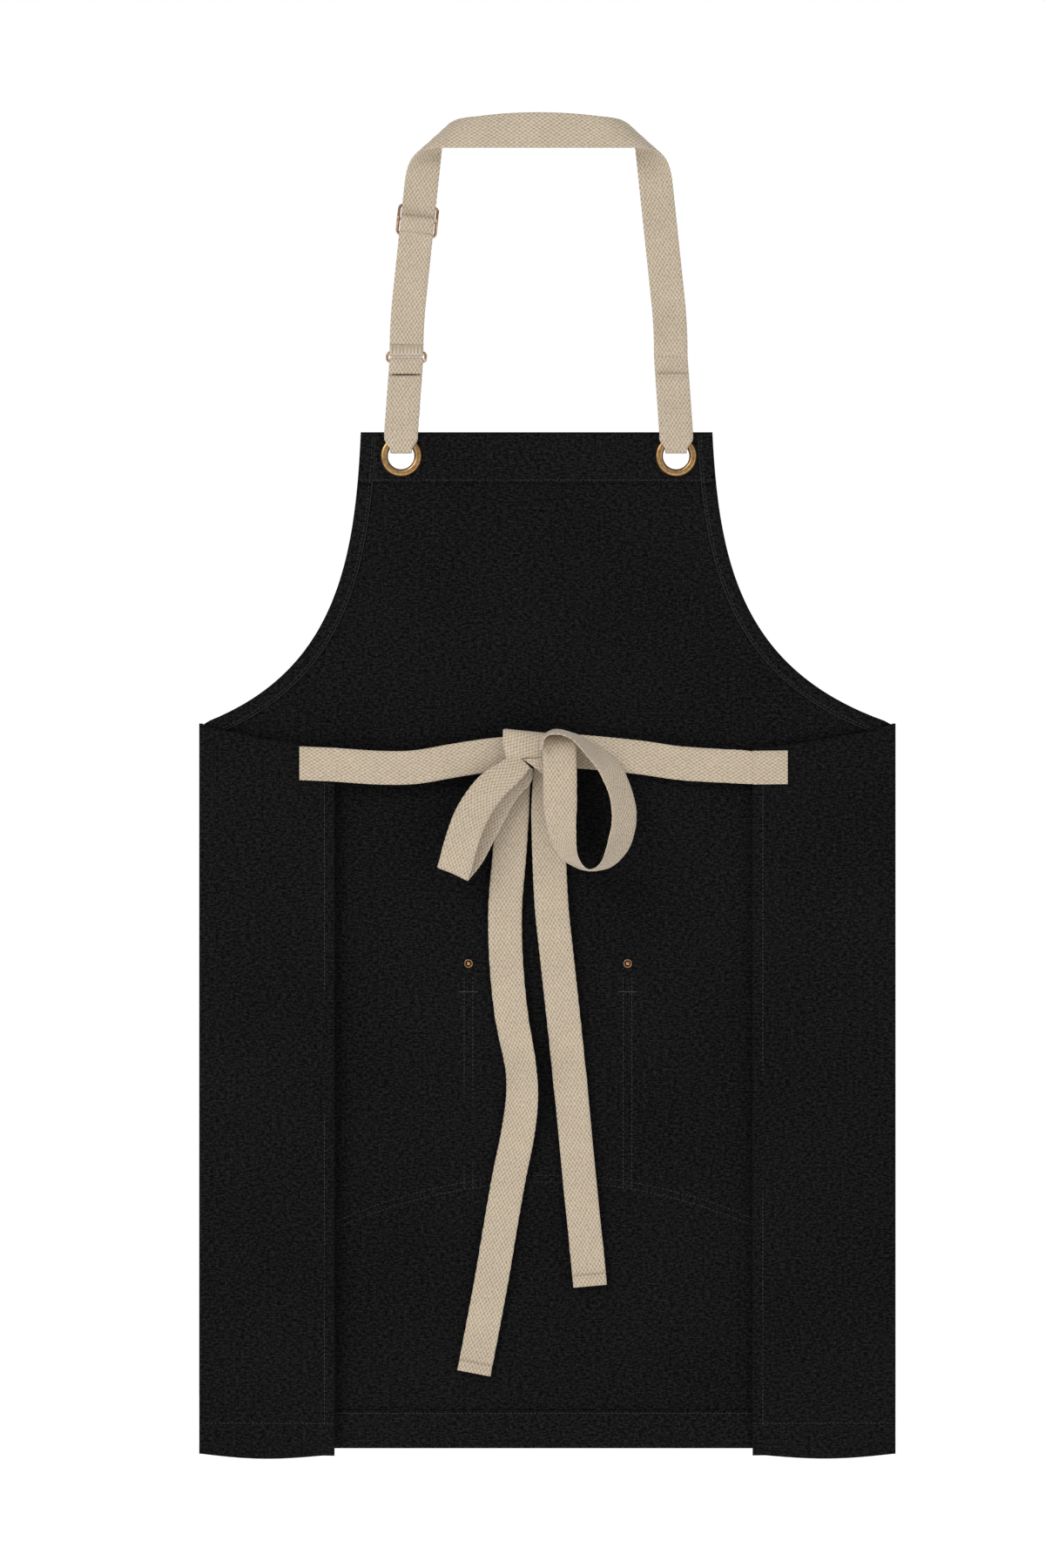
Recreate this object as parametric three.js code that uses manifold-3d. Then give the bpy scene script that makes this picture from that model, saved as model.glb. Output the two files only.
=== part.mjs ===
// Artist's bib apron, hanging from its neck strap with its sides folded on to its back and its ties in a bow.
// Millimetres, +Z up. The origin is the middle of the neck band's inner face, where the strap rests on a neck
// or a hook. -Y is the wearer's side of the cloth, +Y is the front with the pocket, and +X is to the right for
// someone who looks at the wearer's side.
import * as THREE from "three";
import { mergeVertices } from "three/addons/utils/BufferGeometryUtils.js";
import Module from "manifold-3d";

const wasm = await Module();
wasm.setup();

// ---- Driving dimensions ----
const CLEAR = 0.3; // between two pieces that touch

const WEB_W = 25; // webbing of the strap and the ties
const WEB_T = 1.5;
const CLOTH_T = 1; // canvas

const SHOULDER_X = 83; // where the lines of the band and of a leg would cross
const FOLD_R = 12.5; // roll of the webbing where it turns over at a shoulder
const LEG_TILT = THREE.MathUtils.degToRad(6);
const LEG_PLUMB = 40; // last length of a leg, which curves to hang plumb
const RING_Z = -166.3; // middle of the oval ring
const SWING_GAP = 0.8; // webbing ends this far short of the bend at the bib

const RING_WIRE_R = 1;
const RING_SIDE_ROOM = 0.7; // beside the webbing
const RING_HALF_H = 4.4;
const RING_CORNER_R = 2.2;

const SLIDER_DROP = 65.5; // down the leg from the shoulder to the slider's middle
const SLIDER_WIRE_R = 1.15;
const SLIDER_SIDE_ROOM = 0.6; // beside the webbing
const SLIDER_HALF_H = 12;
const SLIDER_CORNER_R = 3;

const BIB_TOP_Z = -222;
const BIB_HALF_W = 130.5;
const BIB_CENTRE_X = -1.5;
const WAIST_Z = -438;
const HEM_Z = -975.5; // lower edge of the middle panel
const LEFT_FOLD_X = -249.5;
const RIGHT_FOLD_X = 262.5;
const TOP_HEM_H = 37.5;
const BOTTOM_HEM_H = 28;
const FACING_W = 11;

const GROMMET_X = 102; // from the middle of the strap
const GROMMET_DROP = 17.7; // from the bib's top edge
const GROMMET_R = 15.5;
const GROMMET_HOLE_R = 9.8;
const BARREL_T = 0.8;

const LEFT_WING_W = 98.7;
const RIGHT_WING_W = 104;
const WING_LIFT = 2.6; // between the panel and a wing at the fold
const LEFT_WING_TILT = THREE.MathUtils.degToRad(4);
const RIGHT_WING_TILT = THREE.MathUtils.degToRad(1.5);
const WING_OPENING = THREE.MathUtils.degToRad(15); // how far a wing lifts while the bow is tied
const WING_TOP_DROP = 18; // from the waist corner to the wing's inner corner
const WING_HANG = 7; // how far a wing hangs below the middle panel
const WING_HEM_W = 8.4;
const WING_HEM_H = 24;

const POCKET_X = 7;
const POCKET_HALF_W = 192;
const POCKET_SEAM = 59; // from the pocket's middle to each dividing seam
const POCKET_TOP_Z = -610;
const POCKET_DEPTH = 171; // at the middle
const POCKET_ARCH = 51; // how much deeper the outer ends reach
const POCKET_BELLY = 9;
const POCKET_FLAT = 11; // beside each seam, where the cloth lies flat
const RIVET_INSET = 6;
const RIVET_R = 4.5;
const RIVET_POST_R = 1.4;
const RIVET_BACK_R = 3.5;

const SEWN_END = 26; // of a tie, on its wing
const KNOT = { x0: -26, x1: 10, z0: -469, z1: -447, near: 4, far: 22, round: 5 };

// Routes of the free webbing: [x, stand-off from the panel's back face, z], then the direction of its width,
// and where it is gathered in, the part of its width that is left.
const LEFT_TIE = [
  [[LEFT_FOLD_X + LEFT_WING_W + 0.5, 11.6, -468.8], [0, 0, 1]],
  [[-115.3, 11.4, -470.9], [0, 0, 1]],
  [[-91.4, 11, -470.4], [-0.1, 0, 1]],
  [[-63, 11, -465.6], [-0.15, 0, 1]],
  [[-38, 11.6, -461.8], [-0.1, 0, 1]],
  [[-26.9, 12, -460.6], [0, 0, 1]],
];
const RIGHT_TIE = [
  [[156.6, 7.6, -470.2], [0, 0, 1]],
  [[104.3, 8, -467.4], [0.05, 0, 1]],
  [[78, 8, -463.6], [0.12, 0, 1]],
  [[50, 8.4, -460.6], [0.1, 0, 1]],
  [[24, 10, -458.5], [0.05, 0, 1]],
  [[10.9, 11, -458.1], [0, 0, 1]],
];
const LEFT_LOOP = [
  [[-21, 22.8, -473.5], [0.85, 0, -0.5], 0.8],
  [[-36, 26, -486], [0.8, 0, -0.6], 0.95],
  [[-49.5, 29.2, -506], [0.88, 0, -0.47]],
  [[-57.6, 30.5, -528], [0.93, 0, -0.37]],
  [[-61.6, 29, -543], [0.93, 0, -0.37]],
  [[-63.2, 24.8, -548.6], [0.92, 0, -0.4]],
  [[-60.5, 20.6, -545], [0.92, 0, -0.4]],
  [[-52, 18, -534], [0.9, 0, -0.43]],
  [[-42, 17, -515], [0.88, 0, -0.47]],
  [[-25.5, 15.4, -486], [0.9, 0, -0.43]],
  [[-14.2, 14.7, -476.5], [1, 0, 0], 0.8],
  [[-13.6, 14.6, -470.4], [1, 0, 0], 0.7],
];
const RIGHT_LOOP = [
  [[15, 23.2, -452.6], [1, 0, 0]],
  [[15.3, 26.2, -457.5], [1, 0, 0]],
  [[15.6, 28.6, -464], [1, 0, 0]],
  [[15.8, 28.8, -477], [1, 0, 0]],
  [[16, 30, -498], [0.99, 0.1, 0]],
  [[17.8, 32, -520], [0.82, 0.57, 0]],
  [[24, 33.5, -537], [0.5, 0.85, 0]],
  [[36, 33, -546.4], [0.05, 1, 0]],
  [[49, 31, -541.5], [-0.45, 0.89, 0]],
  [[59.5, 29, -526], [-0.7, 0.7, 0.05]],
  [[63.2, 27.5, -504], [-0.74, 0.67, -0.05]],
  [[55, 27, -476], [-0.6, 0.72, -0.35]],
  [[36.5, 29, -456], [-0.22, 0.92, -0.33]],
  [[24, 30.4, -447.2], [-0.05, 0.98, -0.16], 0.95],
];
const LEFT_TAIL = [
  [[-14.6, 6, -471], [1, 0, 0], 0.8],
  [[-17.5, 6, -485], [1, 0, 0], 0.9],
  [[-19.4, 5.8, -503], [1, 0, 0]],
  [[-21.6, 5.5, -535.2], [1, 0, 0]],
  [[-24.7, 4.8, -573.3], [1, 0, 0]],
  [[-24.2, 4.8, -611.4], [1, 0.05, 0]],
  [[-20.3, 5.5, -653.4], [1, 0.15, 0]],
  [[-13, 8, -695], [0.9, 0.4, 0]],
  [[-12.4, 8, -716.7], [0.95, 0.3, 0]],
  [[-15.8, 6, -743.9], [1, 0.1, 0]],
  [[-21.5, 5, -772], [1, 0, 0]],
  [[-27.5, 4.6, -805.9], [1, 0, 0]],
  [[-33.9, 4.4, -844.6], [1, 0, 0]],
  [[-40.4, 4.4, -880], [1, 0, 0]],
  [[-48, 4.4, -919.6], [1, 0, 0]],
];
const RIGHT_TAIL = [
  [[6.4, 8.2, -469.9], [1, 0, 0], 0.8],
  [[6.6, 8.2, -485], [1, 0, 0], 0.9],
  [[7, 8.1, -503], [1, 0, 0]],
  [[7.8, 7.6, -535.2], [1, 0, 0]],
  [[9.6, 7, -573.3], [1, 0, 0]],
  [[13.5, 6, -611], [1, 0, 0]],
  [[18.1, 5.4, -653.4], [1, 0, 0]],
  [[23.9, 5, -709], [1, 0, 0]],
  [[30.4, 4.8, -776.8], [1, 0, 0]],
  [[36.6, 4.6, -838], [1, 0, 0]],
  [[38.2, 4.6, -855], [1, 0, 0]],
];

// ---- Places that follow from the sizes ----
const BAND_Y = -WEB_T / 2; // middle of the band's thickness
const LEG_Y = BAND_Y + 2 * FOLD_R;
const RING_BEND = RING_WIRE_R + CLEAR + WEB_T / 2; // webbing's middle round a bar of the ring
const RING_Y = LEG_Y - RING_BEND;
const RING_BAR = RING_HALF_H - RING_WIRE_R; // from the ring's middle to each bar's middle
const TOP_BAR_Z = RING_Z + RING_BAR;
const LOW_BAR_Z = RING_Z - RING_BAR;
const RING_HALF_W = WEB_W / 2 + RING_SIDE_ROOM + 2 * RING_WIRE_R;
const SLIDER_HALF_W = WEB_W / 2 + SLIDER_SIDE_ROOM + 2 * SLIDER_WIRE_R;
const BACK_Y = RING_Y - CLOTH_T / 2; // the panel's back face
const FRONT_Y = BACK_Y + CLOTH_T;
const HEM_Y = BACK_Y - CLEAR - CLOTH_T; // back face of a hem or facing on the panel
const GROMMET_Z = BIB_TOP_Z - GROMMET_DROP;
const POCKET_FLAT_Y = FRONT_Y + CLEAR + CLOTH_T / 2; // middle of the pocket cloth where it is sewn down

// ---- Materials ----
const canvas = new THREE.MeshStandardMaterial({ color: 0x17181b, roughness: 0.95 });
const webbing = new THREE.MeshStandardMaterial({ color: 0xc9b896, roughness: 0.9 });
const brass = new THREE.MeshStandardMaterial({ color: 0xb98a4a, roughness: 0.32, metalness: 1 });
const copper = new THREE.MeshStandardMaterial({ color: 0xa9704a, roughness: 0.3, metalness: 1 });

const apron = new THREE.Group();

function add(name, geometry, material, parent = apron) {
  const mesh = new THREE.Mesh(geometry, material);
  mesh.name = name;
  parent.add(mesh);
  return mesh;
}

// ---- Solids ----
function weld(geometry) {
  const bare = geometry.clone();
  bare.deleteAttribute("normal");
  bare.deleteAttribute("uv");
  return mergeVertices(bare, 1e-4);
}

function solid(geometry) {
  const g = weld(geometry);
  const vertProperties = new Float32Array(g.attributes.position.array);
  return new wasm.Manifold(
    new wasm.Mesh({ numProp: 3, vertProperties, triVerts: new Uint32Array(g.index.array) }),
  );
}

function geometryOf(manifold) {
  const mesh = manifold.getMesh();
  const g = new THREE.BufferGeometry();
  g.setAttribute("position", new THREE.BufferAttribute(new Float32Array(mesh.vertProperties), 3));
  g.setIndex(Array.from(mesh.triVerts));
  return g;
}

// An outline in X and Z, made solid from y0 to y1.
function slab(shape, y0, y1) {
  const g = new THREE.ExtrudeGeometry(shape, { depth: y1 - y0, bevelEnabled: false, curveSegments: 12 });
  return g.rotateX(Math.PI / 2).translate(0, y1, 0);
}

// An outline in Y and Z, made solid from x0 to x1.
function sideways(shape, x0, x1) {
  const g = new THREE.ExtrudeGeometry(shape, { depth: x1 - x0, bevelEnabled: false });
  g.applyMatrix4(new THREE.Matrix4().set(0, 0, 1, x0, 1, 0, 0, 0, 0, 1, 0, 0, 0, 0, 0, 1));
  return g;
}

function outline(points) {
  return new THREE.Shape(points.map(([x, z]) => new THREE.Vector2(x, z)));
}

// A round bar across Y, for holes.
function bore(x, z, radius) {
  return new THREE.CylinderGeometry(radius, radius, 60, radius > 5 ? 32 : 16).translate(x, RING_Y, z);
}

// Rows of { at, normal } points, made solid with a thickness.
function sheetSolid(rows, thickness) {
  const across = rows[0].length;
  const position = [];
  const index = [];
  for (const side of [0.5, -0.5])
    for (const row of rows)
      for (const { at, normal } of row)
        position.push(...at.clone().addScaledVector(normal, side * thickness).toArray());
  const vertex = (layer, i, j) => (layer * rows.length + i) * across + j;
  const quad = (a, b, c, d) => index.push(a, b, c, a, c, d);
  for (let i = 0; i < rows.length - 1; i++)
    for (let j = 0; j < across - 1; j++) {
      quad(vertex(0, i, j), vertex(0, i + 1, j), vertex(0, i + 1, j + 1), vertex(0, i, j + 1));
      quad(vertex(1, i, j), vertex(1, i, j + 1), vertex(1, i + 1, j + 1), vertex(1, i + 1, j));
    }
  for (let i = 0; i < rows.length - 1; i++)
    for (const [j, turned] of [[0, false], [across - 1, true]]) {
      const edge = [vertex(0, i, j), vertex(1, i, j), vertex(1, i + 1, j), vertex(0, i + 1, j)];
      quad(...(turned ? edge.reverse() : edge));
    }
  for (let j = 0; j < across - 1; j++)
    for (const [i, turned] of [[0, true], [rows.length - 1, false]]) {
      const edge = [vertex(0, i, j), vertex(1, i, j), vertex(1, i, j + 1), vertex(0, i, j + 1)];
      quad(...(turned ? edge.reverse() : edge));
    }
  const g = new THREE.BufferGeometry();
  g.setAttribute("position", new THREE.Float32BufferAttribute(position, 3));
  g.setIndex(index);
  return volumeOf(g) < 0 ? turnedOut(g) : g;
}

function volumeOf(g) {
  const [a, b, c] = [new THREE.Vector3(), new THREE.Vector3(), new THREE.Vector3()];
  let sum = 0;
  for (let i = 0; i < g.index.count; i += 3) {
    a.fromBufferAttribute(g.attributes.position, g.index.getX(i));
    b.fromBufferAttribute(g.attributes.position, g.index.getX(i + 1));
    c.fromBufferAttribute(g.attributes.position, g.index.getX(i + 2));
    sum += a.dot(b.cross(c)) / 6;
  }
  return sum;
}

function turnedOut(g) {
  const old = Array.from(g.index.array);
  const turned = [];
  for (let i = 0; i < old.length; i += 3) turned.push(old[i], old[i + 2], old[i + 1]);
  g.setIndex(turned);
  return g;
}

// Flat webbing along a route of [point, direction of its width, part of its width that is not gathered in].
function ribbon(route, steps) {
  const place = ([x, off, z]) => new THREE.Vector3(x, BACK_Y - off, z);
  const line = new THREE.CatmullRomCurve3(route.map(([p]) => place(p)), false, "centripetal");
  const widths = new THREE.CatmullRomCurve3(
    route.map(([, w, part = 1]) => new THREE.Vector3(w[0], -w[1], w[2]).setLength(part)),
  );
  const rows = [];
  for (let i = 0; i <= steps; i++) {
    const t = i / steps;
    const along = line.getTangent(t);
    const width = widths.getPoint(t);
    const wide = WEB_W * Math.min(width.length(), 1);
    width.addScaledVector(along, -width.dot(along)).normalize();
    const normal = along.clone().cross(width).normalize();
    const at = line.getPoint(t);
    rows.push([-0.5, 0.5].map((w) => ({ at: at.clone().addScaledVector(width, w * wide), normal })));
  }
  return sheetSolid(rows, WEB_T);
}

// Round wire along a closed line of points, which never runs along Y.
function closedWire(points, radius, sides = 8) {
  const position = [];
  const index = [];
  const n = points.length;
  points.forEach((p, i) => {
    const along = points[(i + 1) % n].clone().sub(points[(i + n - 1) % n]).normalize();
    const u = along.clone().cross(new THREE.Vector3(0, 1, 0)).normalize();
    const v = u.clone().cross(along).normalize();
    for (let k = 0; k < sides; k++) {
      const a = (2 * Math.PI * k) / sides;
      const at = p.clone().addScaledVector(u, radius * Math.cos(a)).addScaledVector(v, radius * Math.sin(a));
      position.push(...at.toArray());
    }
  });
  for (let i = 0; i < n; i++)
    for (let k = 0; k < sides; k++) {
      const [a, b] = [i * sides + k, i * sides + ((k + 1) % sides)];
      const [c, d] = [((i + 1) % n) * sides + k, ((i + 1) % n) * sides + ((k + 1) % sides)];
      index.push(a, b, d, a, d, c);
    }
  const g = new THREE.BufferGeometry();
  g.setAttribute("position", new THREE.Float32BufferAttribute(position, 3));
  g.setIndex(index);
  return volumeOf(g) < 0 ? turnedOut(g) : g;
}

// Points round a rounded rectangle in X and Z; bow(z) gives each one its Y.
function roundedRectangle(halfW, halfH, cornerR, bow, sideSteps) {
  const points = [];
  const corners = [[1, 1, 0], [-1, 1, 90], [-1, -1, 180], [1, -1, 270]];
  for (const [sx, sz, from] of corners) {
    for (let i = 0; i <= 4; i++) {
      const a = THREE.MathUtils.degToRad(from + i * 22.5);
      points.push([sx * (halfW - cornerR) + cornerR * Math.cos(a), sz * (halfH - cornerR) + cornerR * Math.sin(a)]);
    }
    if (from === 90 || from === 270) {
      const reach = halfH - cornerR;
      for (let i = 1; i < sideSteps; i++) points.push([sx * halfW, sz * reach * (1 - (2 * i) / sideSteps)]);
    }
  }
  return points.map(([x, z]) => new THREE.Vector3(x, bow(z), z));
}

// The outline of a band of thickness t whose middle follows a line of 2D points.
function bandShape(line, t, closed) {
  const n = line.length;
  const offset = (d) =>
    line.map((p, i) => {
      const before = line[closed ? (i + n - 1) % n : Math.max(i - 1, 0)];
      const after = line[closed ? (i + 1) % n : Math.min(i + 1, n - 1)];
      const along = after.clone().sub(before).normalize();
      return new THREE.Vector2(p.x - along.y * d, p.y + along.x * d);
    });
  if (!closed) return new THREE.Shape([...offset(t / 2), ...offset(-t / 2).reverse()]);
  const [a, b] = [offset(t / 2), offset(-t / 2)];
  const [outer, inner] = Math.abs(THREE.ShapeUtils.area(a)) > Math.abs(THREE.ShapeUtils.area(b)) ? [a, b] : [b, a];
  const shape = new THREE.Shape(outer);
  shape.holes.push(new THREE.Path(inner.reverse()));
  return shape;
}

// ---- Neck strap ----
const LEG_RADIUS = LEG_PLUMB / LEG_TILT; // of the curve that brings a leg to plumb
const LEG_STRAIGHT = (-TOP_BAR_Z - LEG_RADIUS * Math.sin(LEG_TILT)) / Math.cos(LEG_TILT);
const LEG_LENGTH = LEG_STRAIGHT + LEG_PLUMB;

// The middle line of a leg, q down from the shoulder point: how far out, how high, and its lean from plumb.
function legLine(q) {
  const straight = Math.min(q, LEG_STRAIGHT);
  const lean = LEG_TILT - Math.max(q - LEG_STRAIGHT, 0) / LEG_RADIUS;
  return {
    out: SHOULDER_X + straight * Math.sin(LEG_TILT) + LEG_RADIUS * (Math.cos(lean) - Math.cos(LEG_TILT)),
    z: -straight * Math.cos(LEG_TILT) - LEG_RADIUS * (Math.sin(LEG_TILT) - Math.sin(lean)),
    lean,
  };
}
const RING_X = -legLine(LEG_LENGTH).out;

// A point of the strap, p out from the band's middle and w up across it. The webbing rolls round a slanting
// cylinder at the shoulder, which turns the level band into the hanging leg without stretching it.
function strapPoint(p, w, side) {
  const slant = (Math.PI / 2 - LEG_TILT) / 2;
  const axis = new THREE.Vector2(Math.cos(slant), -Math.sin(slant));
  const over = new THREE.Vector2(Math.sin(slant), Math.cos(slant));
  const flat = new THREE.Vector2(p - SHOULDER_X, w);
  const along = flat.dot(axis);
  const rolled = flat.dot(over) + (Math.PI / 2) * FOLD_R;
  const angle = THREE.MathUtils.clamp(rolled / FOLD_R, 0, Math.PI);
  const beyond = rolled - angle * FOLD_R;
  const across = FOLD_R * Math.sin(angle) + beyond * Math.cos(angle) - (Math.PI / 2) * FOLD_R;
  const q = p - SHOULDER_X;
  let out = SHOULDER_X + along * axis.x + across * over.x;
  let z = along * axis.y + across * over.y;
  if (q > LEG_STRAIGHT) {
    const line = legLine(q);
    out = line.out - w * Math.cos(line.lean);
    z = line.z - w * Math.sin(line.lean);
  }
  const y = BAND_Y + FOLD_R * (1 - Math.cos(angle));
  const normal = new THREE.Vector3(
    side * Math.sin(angle) * over.x,
    -Math.cos(angle),
    Math.sin(angle) * over.y,
  );
  return { at: new THREE.Vector3(side * out, y, z), normal };
}

const ACROSS = 4; // squares across the strap
const RETURN_START = 6; // the strap ends this far above the ring's top bar, on the wearer's side

// From the ring, up the left leg, round the neck and down the right leg to the bend at the bib.
function neckStrap() {
  const across = Array.from({ length: ACROSS + 1 }, (_, i) => WEB_W * (0.5 - i / ACROSS));
  const rows = [];
  const turnRow = (y, z, normal) =>
    rows.push(across.map((w) => ({ at: new THREE.Vector3(RING_X + w, y, z), normal })));
  turnRow(RING_Y - RING_BEND, TOP_BAR_Z + RETURN_START, new THREE.Vector3(0, -1, 0));
  for (let i = 0; i <= 8; i++) {
    const a = Math.PI * (1 - i / 8);
    const normal = new THREE.Vector3(0, Math.cos(a), -Math.sin(a));
    turnRow(RING_Y + RING_BEND * Math.cos(a), TOP_BAR_Z - RING_BEND * Math.sin(a), normal);
  }
  const reach = SHOULDER_X + LEG_LENGTH;
  const steps = [];
  for (let p = reach - 10; p > SHOULDER_X + 46; p -= 10) steps.push(p);
  for (let p = SHOULDER_X + 45; p > SHOULDER_X - 45; p -= 3) steps.push(p);
  for (const p of steps) rows.push(across.map((w) => strapPoint(p, w, -1)));
  for (const p of [30, 15, 0]) rows.push(across.map((w) => strapPoint(p, w, -1)));
  rows.push(across.map((w) => strapPoint(15, w, 1)));
  for (const p of [30, ...steps.reverse(), reach - SWING_GAP]) {
    const row = across.map((w) => strapPoint(p, w, 1));
    const t = THREE.MathUtils.clamp((p - SHOULDER_X - LEG_STRAIGHT) / (LEG_PLUMB - 5), 0, 1);
    for (const { at } of row) at.y -= RING_BEND * THREE.MathUtils.smoothstep(t, 0, 1);
    rows.push(row);
  }
  add("neck_strap", sheetSolid(rows, WEB_T), webbing);
}

// ---- Slider: an arched three-bar buckle that the leg passes through, and the strap's end looped on its bar ----
const SLIDER_BAR_Y = -(WEB_T / 2 + CLEAR + 0.05 + WEB_T + CLEAR + SLIDER_WIRE_R);
const SLIDER_END_Y = WEB_T / 2 + CLEAR + 0.05 + SLIDER_WIRE_R;
const LOOP_BEND = SLIDER_WIRE_R + CLEAR + WEB_T / 2;
const LOOP_DOWN = 8; // how far the sewn loop reaches below the bar

function slider() {
  const line = legLine(SLIDER_DROP);
  const group = new THREE.Group();
  group.position.set(-line.out, LEG_Y, line.z);
  group.rotation.y = LEG_TILT;
  apron.add(group);
  const halfH = SLIDER_HALF_H - SLIDER_WIRE_R;
  const halfW = SLIDER_HALF_W - SLIDER_WIRE_R;
  const bow = (z) => SLIDER_END_Y + (SLIDER_BAR_Y - SLIDER_END_Y) * Math.cos((Math.PI / 2) * (z / halfH)) ** 2;
  const wire = roundedRectangle(halfW, halfH, SLIDER_CORNER_R, bow, 10);
  add("slider_frame", closedWire(wire, SLIDER_WIRE_R), copper, group);
  const barLength = 2 * (halfW - SLIDER_WIRE_R - CLEAR - 0.05);
  const bar = new THREE.CylinderGeometry(SLIDER_WIRE_R, SLIDER_WIRE_R, barLength, 12).rotateZ(Math.PI / 2);
  add("slider_bar", bar.translate(0, SLIDER_BAR_Y, 0), copper, group);
  const turn = Array.from({ length: 9 }, (_, i) => {
    const a = Math.PI * (1 - i / 8);
    return new THREE.Vector2(SLIDER_BAR_Y + LOOP_BEND * Math.cos(a), LOOP_BEND * Math.sin(a));
  });
  const loop = [
    new THREE.Vector2(SLIDER_BAR_Y - LOOP_BEND, -LOOP_DOWN),
    ...turn,
    new THREE.Vector2(SLIDER_BAR_Y + LOOP_BEND, -LOOP_DOWN - 1),
  ];
  add("strap_end_loop", sideways(bandShape(loop, WEB_T, false), -WEB_W / 2, WEB_W / 2), webbing, group);
}

// The second layer of the strap, from the ring back up to the slider.
function strapReturn() {
  const top = SLIDER_DROP + LOOP_DOWN + CLEAR;
  const low = LEG_LENGTH - RETURN_START - CLEAR;
  const [lowY, topY] = [RING_Y - RING_BEND, LEG_Y + SLIDER_BAR_Y - LOOP_BEND];
  const normal = new THREE.Vector3(0, -1, 0);
  const rows = [];
  for (let i = 0; i <= 12; i++) {
    const t = i / 12;
    const line = legLine(THREE.MathUtils.lerp(low, top, t));
    const y = THREE.MathUtils.lerp(lowY, topY, THREE.MathUtils.smoothstep(t, 0, 1));
    const width = new THREE.Vector3(Math.cos(line.lean), 0, -Math.sin(line.lean));
    const middle = new THREE.Vector3(-line.out, y, line.z);
    rows.push([-0.5, 0.5].map((w) => ({ at: middle.clone().addScaledVector(width, w * WEB_W), normal })));
  }
  add("strap_return", sheetSolid(rows, WEB_T), webbing);
}

function ovalRing() {
  const halfW = RING_HALF_W - RING_WIRE_R;
  const wire = roundedRectangle(halfW, RING_BAR, RING_CORNER_R, () => 0, 2);
  const ring = add("oval_ring", closedWire(wire, RING_WIRE_R), copper);
  ring.position.set(RING_X, RING_Y, RING_Z);
}

// ---- Anchor loops: webbing through the grommets ----
const FLANGE_OUT = 2; // the grommet stands this far out of the hem
const LIP_OUT = 2.3; // and its rolled lip this far out of the front
const BACK_LAYER = HEM_Y - FLANGE_OUT - CLEAR - WEB_T / 2;
const FRONT_LAYER = FRONT_Y + LIP_OUT + CLEAR + WEB_T / 2;
const LOOP_FLOOR = GROMMET_Z + 2 + WEB_T / 2; // middle of the webbing in the hole
const NECK_HALF = Math.sqrt(GROMMET_HOLE_R ** 2 - (LOOP_FLOOR + WEB_T / 2 - GROMMET_Z) ** 2) - 0.35;

function smoothLine(points, closed, steps) {
  const curve = new THREE.CatmullRomCurve3(points.map(([y, z]) => new THREE.Vector3(y, z, 0)), closed, "centripetal");
  return curve.getPoints(steps).slice(0, closed ? -1 : undefined).map((p) => new THREE.Vector2(p.x, p.y));
}

// The turn through the hole, from the front layer to the back layer.
const HOLE_TURN = [
  [FRONT_LAYER, BIB_TOP_Z],
  [FRONT_LAYER, LOOP_FLOOR + 3],
  [FRONT_LAYER - 1.6, LOOP_FLOOR],
  [RING_Y, LOOP_FLOOR],
  [BACK_LAYER + 1.6, LOOP_FLOOR],
  [BACK_LAYER, LOOP_FLOOR + 3],
  [BACK_LAYER, BIB_TOP_Z],
];

// Cuts a loop to the webbing's outline: full width above, drawn in where it goes through the hole.
function anchorOutline(topX, holeX, topZ) {
  const half = WEB_W / 2;
  const free = BIB_TOP_Z + 3;
  const drawn = GROMMET_Z + 6.5;
  return outline([
    [topX - half, topZ],
    [holeX - half, free],
    [holeX - half, drawn + 5],
    [holeX - NECK_HALF, drawn],
    [holeX - NECK_HALF, GROMMET_Z],
    [holeX + NECK_HALF, GROMMET_Z],
    [holeX + NECK_HALF, drawn],
    [holeX + half, drawn + 5],
    [holeX + half, free],
    [topX + half, topZ],
  ]);
}

function anchorLoop(name, line, closed, topX, holeX) {
  const band = sideways(bandShape(line, WEB_T, closed), holeX - 40, holeX + 40);
  const topZ = Math.max(...line.map((p) => p.y)) + WEB_T;
  const cut = slab(anchorOutline(topX, holeX, topZ), RING_Y - 20, RING_Y + 20);
  add(name, geometryOf(solid(band).intersect(solid(cut))), webbing);
}

function anchorLoops() {
  const ringTurn = Array.from({ length: 7 }, (_, i) => {
    const a = (Math.PI * i) / 6;
    return [RING_Y - RING_BEND * Math.cos(a), LOW_BAR_Z + RING_BEND * Math.sin(a)];
  });
  anchorLoop("left_anchor_loop", smoothLine([...ringTurn, ...HOLE_TURN], true, 60), true, RING_X, -GROMMET_X);
  const down = [
    [RING_Y, TOP_BAR_Z - 1.3],
    [RING_Y + 0.2, TOP_BAR_Z - 12],
    [RING_Y + 1.3, TOP_BAR_Z - 32],
  ];
  const up = [
    [RING_Y - 1.9, TOP_BAR_Z - 32],
    [RING_Y - 1.8, TOP_BAR_Z - 16],
  ];
  anchorLoop("right_anchor_loop", smoothLine([...down, ...HOLE_TURN, ...up], false, 60), false, -RING_X, GROMMET_X);
}

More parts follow.
